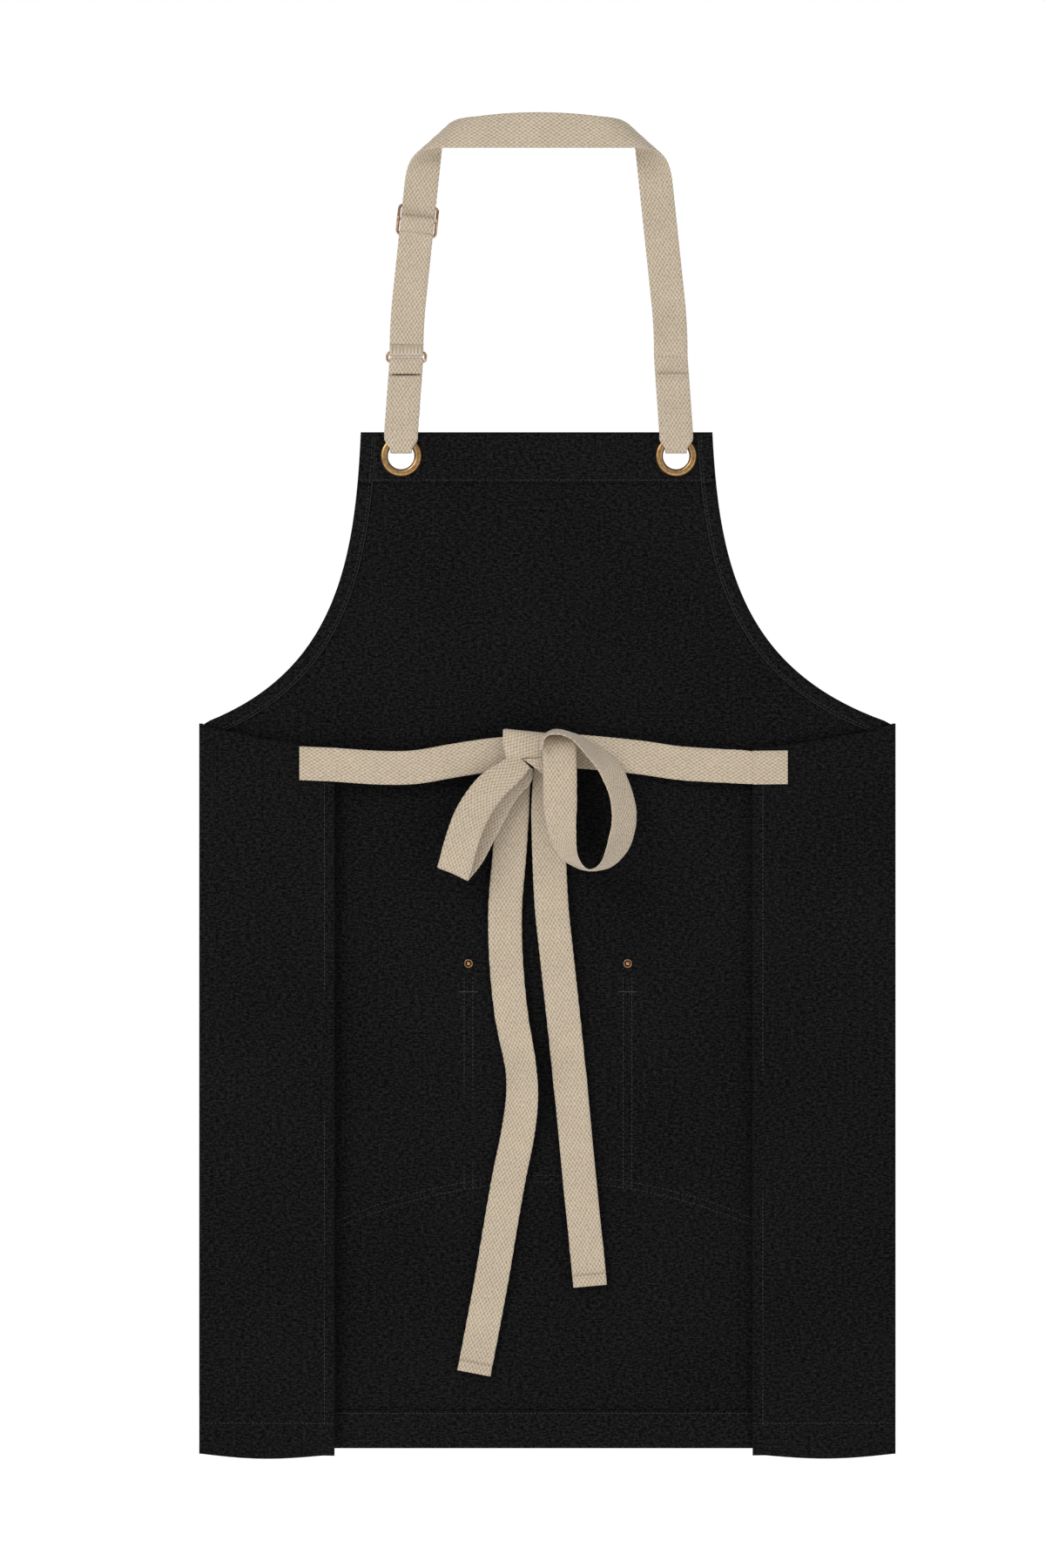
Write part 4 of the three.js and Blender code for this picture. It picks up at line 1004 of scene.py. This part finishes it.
def cloth(name, rows, material, thickness=CLOTH_T, holes=(), body=None):
    """Rows of (point, flat place) make one sheet; holes are (x, z, radius)."""
    across = len(rows[0])
    verts = [point for row in rows for point, _ in row]
    uvs = [flat for row in rows for _, flat in row]
    faces = [(i * across + j, i * across + j + 1, (i + 1) * across + j + 1, (i + 1) * across + j)
             for i in range(len(rows) - 1) for j in range(across - 1)]
    for hx, hz, radius in holes:
        near = {f for f in faces if away(verts, f, hx, hz) < radius}
        faces = [f for f in faces if f not in near]
        rim = {k for f in near for k in f} & {k for f in faces for k in f}
        for k in rim:
            dx, dz = verts[k][0] - hx, verts[k][2] - hz
            grow = radius / math.hypot(dx, dz)
            verts[k] = (hx + dx * grow, verts[k][1], hz + dz * grow)
    used = sorted({k for f in faces for k in f})
    renumber = {k: i for i, k in enumerate(used)}
    faces = [tuple(renumber[k] for k in f) for f in faces]
    piece = new_piece(name, [verts[k] for k in used], faces, material, [uvs[k] for k in used])
    solidify = piece.modifiers.new("thickness", "SOLIDIFY")
    solidify.thickness = thickness
    solidify.offset = 0
    apply(piece, solidify)
    if body:
        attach(piece, body)
    return piece


def ripple(x, z, size=0.25 * MM):
    slow = math.sin(x * 31 + z * 9) * math.sin(z * 17 - x * 6 + 1.3)
    return size * (slow + 0.5 * math.sin(z * 43 + x * 21))


# %% Panel, hems and facings
def panel():
    rows = []
    heights = np.linspace(BIB_TOP, HEM_Z, 230)
    for z in heights:
        left, right = edge_x(LEFT_ARM, z, LEFT_FOLD), edge_x(RIGHT_ARM, z, RIGHT_FOLD)
        row = []
        for x in np.linspace(left, right, 150):
            calm = min(1, (x - left) / (30 * MM), (right - x) / (30 * MM), (BIB_TOP - z) / (50 * MM))
            row.append(((x, MID_Y + ripple(x, z) * max(calm, 0), z), (x, z)))
        rows.append(row)
    return cloth("panel_canvas", rows, CANVAS, holes=HOLES, body="apron")


def strip(name, heights, left_of, right_of, columns, node, holes=()):
    rows = []
    for z in heights:
        row = []
        for x in np.linspace(left_of(z), right_of(z), columns):
            row.append(((x, HEM_MID + ripple(x, z) * 0.4, z), (x + 3 * MM, z)))
        rows.append(row)
    return dress(cloth(name, rows, FOLDED_CANVAS, holes=holes, body="apron"), "canvas_hem", node)


panel_piece = dress(panel(), "canvas", "main_panel")
HEM_MID = (HEM_Y + BACK_Y - GAP) / 2
EDGE = 0.5 * MM
top_hem = strip("top_hem_fold", np.linspace(BIB_TOP - EDGE, BIB_TOP - 37.5 * MM, 14),
                lambda z: edge_x(LEFT_ARM, z, LEFT_FOLD) + EDGE,
                lambda z: edge_x(RIGHT_ARM, z, RIGHT_FOLD) - EDGE, 110, "top_hem", HOLES)
bottom_hem = strip("bottom_hem_fold", np.linspace(HEM_Z + 28 * MM, HEM_Z + EDGE, 10),
                   lambda z: LEFT_FOLD + EDGE, lambda z: RIGHT_FOLD - EDGE, 150, "bottom_hem")


def facing(side, arm, inward):
    line = [p for p in arm if WAIST_Z + 0.5 * MM < p[1] < BIB_TOP - 37.8 * MM]
    rows = []
    for i, p in enumerate(line):
        a, b = line[max(i - 1, 0)], line[min(i + 1, len(line) - 1)]
        along = unit((b[0] - a[0], b[1] - a[1]))
        into = (-along[1] * inward, along[0] * inward)
        row = []
        for d in np.linspace(0.5 * MM, 11 * MM, 5):
            x, z = p[0] + into[0] * d, p[1] + into[1] * d
            row.append(((x, HEM_MID, z), (x, z)))
        rows.append(row)
    piece = cloth(side + "_armhole_fold", rows, FOLDED_CANVAS, body="apron")
    return dress(piece, "canvas_hem", side + "_armhole_facing")


facing_pieces = [facing("left", LEFT_ARM, 1), facing("right", RIGHT_ARM, -1)]
print("panel width", RIGHT_FOLD - LEFT_FOLD, "height", BIB_TOP - HEM_Z)

# %% [markdown]
# ## Wings
# Each wing is the panel's own cloth, turned over at its fold. The sheet starts in the panel's plane, goes
# round the fold and lies on the back.


# %% Wings
def wing(side, fold, width, tilt, toward):
    pivot = np.array([fold, BACK_Y + CLOTH_T / 2 - TURN_R])
    c, s = math.cos(toward * tilt), math.sin(toward * tilt)

    def turned(x, y):
        return pivot[0] + x * c + y * s, pivot[1] - x * s + y * c

    profile = [(toward * 0.15 * MM, TURN_R, -0.4 * MM)]
    for i in range(13):
        a = math.pi * i / 12
        profile.append((-toward * TURN_R * math.sin(a), TURN_R * math.cos(a), TURN_R * a))
    for d in np.linspace(1.5 * MM, width, 46):
        profile.append((toward * d, -TURN_R, math.pi * TURN_R + d))
    rows = []
    for k in np.linspace(0, 1, 200):
        row = []
        for x, y, flat in profile:
            across = min(max(x * toward, 0) / width, 1)
            top = WAIST_Z + (WING_TOP - WAIST_Z) * min(across * 1.12, 1) ** 0.75
            bottom = WING_FOOT + 3 * MM * (1 - math.sin(math.pi * min(across * 1.1, 1))) - 1 * MM * across
            z = top + (bottom - top) * k
            bend = ripple(x + 0.05, z, 0.5 * MM) * across
            px, py = turned(x, y + bend)
            row.append(((px, py, z), (fold + toward * flat, z)))
        rows.append(row)
    piece = cloth(side + "_wing_canvas", rows, CANVAS)
    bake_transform(piece)
    dress(piece, "canvas", side + "_wing")

    def fold_on_wing(name, heights, distances):
        rows = []
        for z in heights:
            places = [turned(toward * d, -TURN_R + CLOTH_T / 2 + GAP + 0.4 * MM) for d in distances]
            rows.append([((px, py, z), (px, z)) for px, py in places])
        return cloth(name, rows, FOLDED_CANVAS, 0.8 * MM, body=side + "_wing")

    hem = fold_on_wing(side + "_wing_hem_fold", np.linspace(WING_TOP - 1 * MM, WING_FOOT + 4 * MM, 90),
                       np.linspace(width - 8.4 * MM, width - 0.5 * MM, 4))
    dress(hem, "canvas_hem", side + "_wing_hem")
    foot = fold_on_wing(side + "_wing_foot_fold", np.linspace(WING_FOOT + 27 * MM, WING_FOOT + 3.4 * MM, 10),
                        np.linspace(6 * MM, width - 9 * MM, 26))
    dress(foot, "canvas_hem")
    return turned, piece, [hem, foot]


left_turned, left_wing_piece, left_hems = wing("left", LEFT_FOLD, LEFT_WING_W, LEFT_WING_TILT, 1)
right_turned, right_wing_piece, right_hems = wing("right", RIGHT_FOLD, RIGHT_WING_W, RIGHT_WING_TILT, -1)


# %% Sewn ends of the ties
def tie_end_rows(turned, toward, width, outer_z, inner_z):
    rows = []
    y = -TURN_R - CLOTH_T / 2 - GAP - WEB_T / 2
    for i in range(31):
        d = width - 26 * MM + 26 * MM * i / 30
        x0, y0 = turned(toward * d, y)
        x1, y1 = turned(toward * (d + 1 * MM), y)
        tangent = unit((x1 - x0, y1 - y0, 0))
        middle = np.array([x0, y0, outer_z + (inner_z - outer_z) * i / 30])
        rows.append((middle, np.array([0, 0, 1.0]), unit(np.cross(tangent, (0, 0, 1))), WEB_W))
    return rows


left_end_rows = tie_end_rows(left_turned, 1, LEFT_WING_W, -467.5 * MM, -468.6 * MM)
left_tie = sweep("left_tie_webbing", left_end_rows + along_route(LEFT_TIE, 110)[1:], TIES)
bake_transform(left_tie)
dress(left_tie, "tie_webbing", "left_tie", "left_tie_end")
right_end_rows = tie_end_rows(right_turned, -1, RIGHT_WING_W, -470.5 * MM, -470.8 * MM)
right_end = sweep("right_tie_end_webbing", right_end_rows, TIES, "right_wing")
dress(right_end, "tie_webbing", "right_tie_end")
print("tie ends", left_end_rows[0][0], right_end_rows[0][0])

# %% [markdown]
# ## Front pocket
# One cloth makes three pouches. It lies flat at its seams and stands away between them.

# %% Pocket
POCKET_X, POCKET_HALF_W, POCKET_SEAM = 7 * MM, 192 * MM, 59 * MM
POCKET_FLAT_Y = FRONT_Y + GAP + CLOTH_T / 2
POCKET_SEAMS = [POCKET_X + d for d in (-POCKET_HALF_W, -POCKET_SEAM, POCKET_SEAM, POCKET_HALF_W)]


def pocket_bottom(x):
    return POCKET_TOP - 171 * MM - 51 * MM * ((x - POCKET_X) / POCKET_HALF_W) ** 2


def pouch(x, up):
    for a, b in zip(POCKET_SEAMS, POCKET_SEAMS[1:]):
        if a <= x <= b + 1e-9:
            t = min(max((x - a - 11 * MM) / (b - a - 22 * MM), 0), 1)
            return 9 * MM * math.sin(math.pi * t) * math.sin(math.pi / 2 * up) ** 0.6
    return 0.0


def pocket():
    rows = []
    for up in np.linspace(1, 0, 60):
        row = []
        for x in np.linspace(POCKET_SEAMS[0], POCKET_SEAMS[-1], 150):
            z = pocket_bottom(x) + (POCKET_TOP - pocket_bottom(x)) * up
            row.append(((x, POCKET_FLAT_Y + pouch(x, up), z), (x, z)))
        rows.append(row)
    piece = cloth("front_pocket_canvas", rows, CANVAS, body="apron")
    dress(piece, "pocket_canvas", "front_pocket")
    hems = []
    for name, a, b in zip(("left", "middle", "right"), POCKET_SEAMS, POCKET_SEAMS[1:]):
        rows = []
        for up in np.linspace(1, 5 / 6, 8):
            row = []
            for x in np.linspace(a + 23 * MM, b - 23 * MM, 30):
                z = pocket_bottom(x) + (POCKET_TOP - pocket_bottom(x)) * up - 0.5 * MM
                row.append(((x, POCKET_FLAT_Y + pouch(x, up) - CLOTH_T / 2 - 0.6 * MM, z), (x, z)))
            rows.append(row)
        hem = cloth(name + "_pocket_hem_fold", rows, FOLDED_CANVAS, 0.5 * MM, body="apron")
        hems.append(dress(hem, "pocket_canvas", name + "_pocket_hem"))
    return piece, hems


pocket_piece, pocket_hems = pocket()

# %% [markdown]
# ## Grommets and rivets
# A grommet is a rolled flange: turned on a lathe in profile, bright on its crown, with its rims given a dark
# brass as painted shade where the flange rolls into the hole and down to the cloth.


# %% Turned metal
def turned_ring(name, centre, profile, material, body, segments=72, closed=True):
    verts = []
    for i in range(segments):
        a = 2 * math.pi * i / segments
        for r, y in profile:
            verts.append((centre[0] + r * math.cos(a), y, centre[1] + r * math.sin(a)))
    faces = tube_faces(segments, len(profile), closed=True, all_round=closed)
    piece = new_piece(name, verts, faces, material)
    work = bmesh.new()
    work.from_mesh(piece.data)
    bmesh.ops.remove_doubles(work, verts=work.verts, dist=1e-6)
    bmesh.ops.recalc_face_normals(work, faces=work.faces)
    work.to_mesh(piece.data)
    work.free()
    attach(piece, body)
    return piece


HOLE_R, NECK_R, LIP_R, FLANGE_R = 9.8 * MM, 10.6 * MM, 13.4 * MM, 15.5 * MM


def grommet(side, centre):
    profile = []
    middle_r, half = (HOLE_R + FLANGE_R) / 2, (FLANGE_R - HOLE_R) / 2
    for i in range(15):
        a = math.pi * i / 14
        profile.append((middle_r - half * math.cos(a), HEM_Y - 0.35 * MM - 1.65 * MM * math.sin(a) ** 0.8))
    profile += [(FLANGE_R - 0.05 * MM, HEM_Y - GAP), (NECK_R, HEM_Y - GAP), (NECK_R, FRONT_Y + 1.3 * MM),
                (LIP_R, FRONT_Y + 1.3 * MM), (LIP_R, FRONT_Y + 1.9 * MM), (NECK_R, FRONT_Y + LIP_OUT),
                (HOLE_R, FRONT_Y + 1.7 * MM)]
    ring = turned_ring(side + "_grommet_flange", centre, profile, BRASS, "apron")
    # The rims take the dark brass as painted shade: the inner rim and barrel of the hole, and the outer edge
    # where the flange turns down to the cloth.
    ring.data.materials.append(BRASS_RIM_SHADE)
    for polygon in ring.data.polygons:
        reach = math.hypot(polygon.center.x - centre[0], polygon.center.z - centre[1])
        if reach < 11.0 * MM or (reach > 14.5 * MM and polygon.center.y < HEM_Y):
            polygon.material_index = 1
    dress(ring, "grommet_brass", side + "_grommet")
    washer = [(10.9 * MM, FRONT_Y + GAP), (15.2 * MM, FRONT_Y + GAP), (15.2 * MM, FRONT_Y + 0.7 * MM),
              (14.8 * MM, FRONT_Y + 1 * MM), (10.9 * MM, FRONT_Y + 1 * MM)]
    made = turned_ring(side + "_grommet_back_ring", centre, washer, BRASS, "apron")
    dress(made, "grommet_brass", side + "_grommet_washer")


for side_name, place in zip(("left", "right"), GROMMETS):
    grommet(side_name, place)


def rivet(name, x):
    z = POCKET_TOP - 6 * MM
    cap_face = POCKET_FLAT_Y + CLOTH_T / 2 + GAP
    back_face = BACK_Y - GAP
    dome = [(0, cap_face + 2 * MM)] + [(4.5 * MM * math.sin(a), cap_face + 2 * MM * math.cos(a))
                                       for a in np.linspace(0.2, math.pi / 2, 9)]
    dome += [(1.4 * MM, cap_face), (1.4 * MM, back_face - 0.9 * MM), (0, back_face - 0.9 * MM)]
    made = turned_ring(name + "_rivet_dome", (x, z), dome, BRASS, "apron", 36, closed=False)
    dress(made, "rivet_brass", name + "_rivet_cap")
    back = [(2.1 * MM, back_face), (3.4 * MM, back_face)]
    back += [(2.75 * MM + 0.65 * MM * math.cos(a), back_face - 0.3 * MM - 0.7 * MM * math.sin(a))
             for a in np.linspace(0, math.pi, 9)]
    made = turned_ring(name + "_rivet_back_ring", (x, z), back, DULL_COPPER, "apron", 36)
    dress(made, "rivet_brass", name + "_rivet_back")


for name, x in zip(("outer_left", "left", "right", "outer_right"),
                   (POCKET_SEAMS[0] + 6 * MM, POCKET_SEAMS[1], POCKET_SEAMS[2], POCKET_SEAMS[3] - 6 * MM)):
    rivet(name, x)

# %% [markdown]
# ## Stitches by Geometry Nodes
# A seam is one short thread repeated at an even pitch. The tree takes a line, samples it at the pitch, puts a
# thread on each point, turned along the line, makes the copies real and gives them their material. One tree
# serves every seam; only its named inputs change.


# %% Stitch tree
def stitch_tree():
    tree = bpy.data.node_groups.new("stitch_row", "GeometryNodeTree")
    face = tree.interface
    face.new_socket("Line", in_out="INPUT", socket_type="NodeSocketGeometry")
    sizes = {}
    for name, value in (("Pitch", 3 * MM), ("Stitch length", 2.1 * MM), ("Thread radius", 0.3 * MM)):
        socket = face.new_socket(name, in_out="INPUT", socket_type="NodeSocketFloat")
        socket.default_value = value
        sizes[name] = socket.identifier
    thread = face.new_socket("Thread", in_out="INPUT", socket_type="NodeSocketMaterial")
    sizes["Thread"] = thread.identifier
    face.new_socket("Stitches", in_out="OUTPUT", socket_type="NodeSocketGeometry")
    made = Nodes(tree)
    line = made.node("NodeGroupInput", output="Line")
    curve = made.node("GeometryNodeMeshToCurve", {}, {"Mesh": line})
    inputs = {"Curve": curve, "Length": line.also("Pitch")}
    points = made.node("GeometryNodeCurveToPoints", {"mode": "LENGTH"}, inputs)
    ball = made.node("GeometryNodeMeshUVSphere", {}, {"Segments": 6, "Rings": 5, "Radius": 1})
    radius = line.also("Thread radius")
    inputs = {"X": radius, "Y": radius, "Z": line.also("Stitch length") * 0.5}
    scale = made.node("ShaderNodeCombineXYZ", {}, inputs)
    inputs = {"Points": points, "Rotation": points.also("Rotation"), "Instance": ball, "Scale": scale}
    copies = made.node("GeometryNodeInstanceOnPoints", {}, inputs)
    real = made.node("GeometryNodeRealizeInstances", {}, {"Geometry": copies})
    paint = made.node("GeometryNodeSetMaterial", {}, {"Geometry": real, "Material": line.also("Thread")})
    made.node("NodeGroupOutput", {}, {"Stitches": paint})
    return tree, sizes


STITCH_TREE, STITCH_INPUTS = stitch_tree()


def stitches(name, lines, material, body, slot, pitch=3 * MM, stitch=2.1 * MM, radius=0.24 * MM):
    """Each line is a list of points; the seam lies along it."""
    verts, edges = [], []
    for line in lines:
        start = len(verts)
        verts += [tuple(p) for p in line]
        edges += [(start + i, start + i + 1) for i in range(len(line) - 1)]
    mesh = bpy.data.meshes.new(name)
    mesh.from_pydata(verts, edges, [])
    piece = put(name, mesh)
    seam = piece.modifiers.new("stitches", "NODES")
    seam.node_group = STITCH_TREE
    seam[STITCH_INPUTS["Pitch"]] = pitch
    seam[STITCH_INPUTS["Stitch length"]] = stitch
    seam[STITCH_INPUTS["Thread radius"]] = radius
    seam[STITCH_INPUTS["Thread"]] = material
    apply(piece, seam)
    made = piece.data
    for polygon in made.polygons:
        polygon.use_smooth = True
    if not made.materials:
        made.materials.append(material)
    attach(piece, body)
    print(name, "stitch faces", len(made.polygons))


# %% Seams on the canvas
STAND = 0.1 * MM
HEM_FACE = HEM_Y - STAND
FRONT_FACE = FRONT_Y + STAND


def arm_line(arm, inward, d, y):
    line = []
    for i, (x, z) in enumerate(arm):
        if WAIST_Z + 1 * MM < z < BIB_TOP - 1 * MM:
            a, b = arm[max(i - 1, 0)], arm[min(i + 1, len(arm) - 1)]
            along = unit((b[0] - a[0], b[1] - a[1]))
            line.append((x - along[1] * inward * d, y, z + along[0] * inward * d))
    return line


def both_arms(d, y):
    return [arm_line(LEFT_ARM, 1, d, y), arm_line(RIGHT_ARM, -1, d, y)]


def body_seams(y):
    """The seams of the two hems and of both armholes, on one side of the cloth."""
    top, bottom = BIB_TOP - 35.5 * MM, HEM_Z + 26 * MM
    across_bib = np.linspace(edge_x(LEFT_ARM, top, LEFT_FOLD) + 3 * MM,
                             edge_x(RIGHT_ARM, top, RIGHT_FOLD) - 3 * MM, 60)
    across_hem = np.linspace(LEFT_FOLD + 3 * MM, RIGHT_FOLD - 3 * MM, 80)
    return [[(x, y, top) for x in across_bib], [(x, y, bottom) for x in across_hem], *both_arms(8.8 * MM, y)]


OVERLOCK = 1.3 * MM, 0.9 * MM, 0.42 * MM
stitches("back_seams", body_seams(HEM_FACE), BLACK_THREAD, "apron", "canvas_hem")
stitches("armhole_overlock", both_arms(10.8 * MM, HEM_FACE + 0.3 * MM), BLACK_THREAD, "apron",
         "canvas_hem", *OVERLOCK)
stitches("front_seams", body_seams(FRONT_FACE), BLACK_THREAD, "apron", "canvas")


# %% Seams of the pocket, on both sides of the cloth
def pocket_seams(y):
    lines = []
    for x in (POCKET_SEAMS[1], POCKET_SEAMS[2]):
        for dx in (-3.2 * MM, 3.2 * MM):
            z0, z1 = POCKET_TOP - 17 * MM, pocket_bottom(x) + 4 * MM
            lines.append([(x + dx, y, z) for z in np.linspace(z0, z1, 40)])
    for inset in (3 * MM, 8 * MM):
        xs = np.linspace(POCKET_SEAMS[0] + inset, POCKET_SEAMS[-1] - inset, 90)
        lines.append([(x, y, pocket_bottom(x) + inset) for x in xs])
        for x in (POCKET_SEAMS[0] + inset, POCKET_SEAMS[-1] - inset):
            z0, z1 = POCKET_TOP - 3 * MM, pocket_bottom(x) + inset
            lines.append([(x, y, z) for z in np.linspace(z0, z1, 40)])
    return lines


stitches("pocket_front_seams", pocket_seams(POCKET_FLAT_Y + CLOTH_T / 2 + STAND), BLACK_THREAD, "apron",
         "pocket_canvas")
stitches("pocket_back_seams", pocket_seams(BACK_Y - STAND), BLACK_THREAD, "apron", "canvas")
bars = [[(x + dx, BACK_Y - 0.15 * MM, POCKET_TOP - 27 * MM) for dx in (-6.5 * MM, 6.5 * MM)]
        for x in POCKET_SEAMS[1:3]]
stitches("pocket_bartacks", bars, BLACK_THREAD, "apron", "canvas", 0.9 * MM, 1.4 * MM, 0.45 * MM)


# %% Seams of the wings and the tie ends
def wing_seam(side, turned, toward, width):
    y = -TURN_R - CLOTH_T / 2 - STAND
    foot = WING_FOOT + 26 * MM
    inner = turned(toward * (width - 7.6 * MM), y)
    lines = [[(*inner, z) for z in np.linspace(WING_TOP - 6 * MM, foot, 80)],
             [(*turned(toward * d, y), foot) for d in np.linspace(4 * MM, width - 2 * MM, 30)]]
    stitches(side + "_wing_seams", lines, BLACK_THREAD, side + "_wing", "canvas_hem")


wing_seam("left", left_turned, 1, LEFT_WING_W)
wing_seam("right", right_turned, -1, RIGHT_WING_W)


def end_box(side, rows):
    middle = [np.array(r[0]) for r in rows]
    proud = np.array([0, -(WEB_T / 2 + 0.04 * MM), 0])
    first, last = middle[3], middle[-3]
    half = np.array([0, 0, 10.3 * MM])
    lines = [[first + proud + reach, last + proud + reach] for reach in (-half, half)]
    lines += [[corner + proud - half, corner + proud + half] for corner in (first, last)]
    stitches(side + "_tie_box_stitch", lines, BEIGE_THREAD, side + "_wing", "tie_webbing", 2.4 * MM, 1.7 * MM,
             0.22 * MM)


end_box("left", left_end_rows)
end_box("right", right_end_rows)


def cross_seam(name, body, slot, middle, width, proud):
    """One row of thread across a webbing at a middle point."""
    half = 10.8 * MM
    line = [np.array(middle) + np.array(width) * half * t + np.array(proud) for t in (-1, 0, 1)]
    stitches(name, [line], BEIGE_THREAD, body, slot, 2.3 * MM, 1.7 * MM, 0.2 * MM)


for side_name, layer in (("left", left_tail_hem), ("right", right_tail_hem)):
    at = layer[-3]
    cross_seam(side_name + "_tail_seam", side_name + "_tail", "tie_webbing", at[0], at[1], (0, -0.62 * MM, 0))
ANCHOR_FACE = RING_Y - 1.95 * MM - WEB_T / 2
for side_name, x, drop in (("left", RING_X, 12.4 * MM), ("right", -RING_X, 11.6 * MM)):
    middle = (x * 1.005, ANCHOR_FACE - 0.35 * MM, LOW_BAR_Z - drop)
    cross_seam(side_name + "_anchor_seam", "apron", "anchor_webbing", middle, (1, 0, 0), (0, 0, 0))

# %% [markdown]
# ## Floor and world
# A plain pale floor lies well below the hanging apron. The world is brighter above than below, so that the
# metal has something to reflect, while a camera ray sees plain white.

# %% Floor and world
floor_mesh = bpy.data.meshes.new("floor")
REACH_OUT, FLOOR_Z = 6.0, HEM_Z - 0.30
corners = [(x * REACH_OUT, y * REACH_OUT, FLOOR_Z) for x, y in ((-1, -1), (1, -1), (1, 1), (-1, 1))]
floor_mesh.from_pydata(corners, [], [(0, 1, 2, 3)])
floor = put("floor", floor_mesh)
pale = Maker("pale_floor", Roughness=0.9)
pale.shader.inputs["Base Color"].default_value = (0.9, 0.9, 0.9, 1)
pale.shader.inputs["Emission Color"].default_value = (1, 1, 1, 1)
pale.shader.inputs["Emission Strength"].default_value = 0.55
floor_mesh.materials.append(pale.material)

world = bpy.data.worlds.new("studio")
bpy.context.scene.world = world
world.use_nodes = True
world.node_tree.nodes.clear()
sky = Nodes(world.node_tree)
around = sky.node("ShaderNodeTexCoord", output="Generated")
height = sky.node("ShaderNodeSeparateXYZ", {}, {0: around}, output="Z") * 0.5 + 0.5
stops = [(0.0, (0.18, 0.17, 0.16, 1)), (0.7, (1, 1, 1, 1))]
shade = sky.node("ShaderNodeValToRGB", {"stops": stops}, {0: height})
lit = sky.node("ShaderNodeBackground", {}, {"Color": shade, "Strength": 0.62})
seen = sky.node("ShaderNodeBackground", {}, {"Color": (1, 1, 1, 1), "Strength": 1.0})
camera_ray = sky.node("ShaderNodeLightPath", output="Is Camera Ray")
both = sky.node("ShaderNodeMixShader", {}, {0: camera_ray, 1: lit, 2: seen})
sky.node("ShaderNodeOutputWorld", {}, {0: both})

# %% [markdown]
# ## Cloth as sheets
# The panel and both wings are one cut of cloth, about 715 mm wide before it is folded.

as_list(left_hems)
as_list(right_hems)
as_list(pocket_hems)
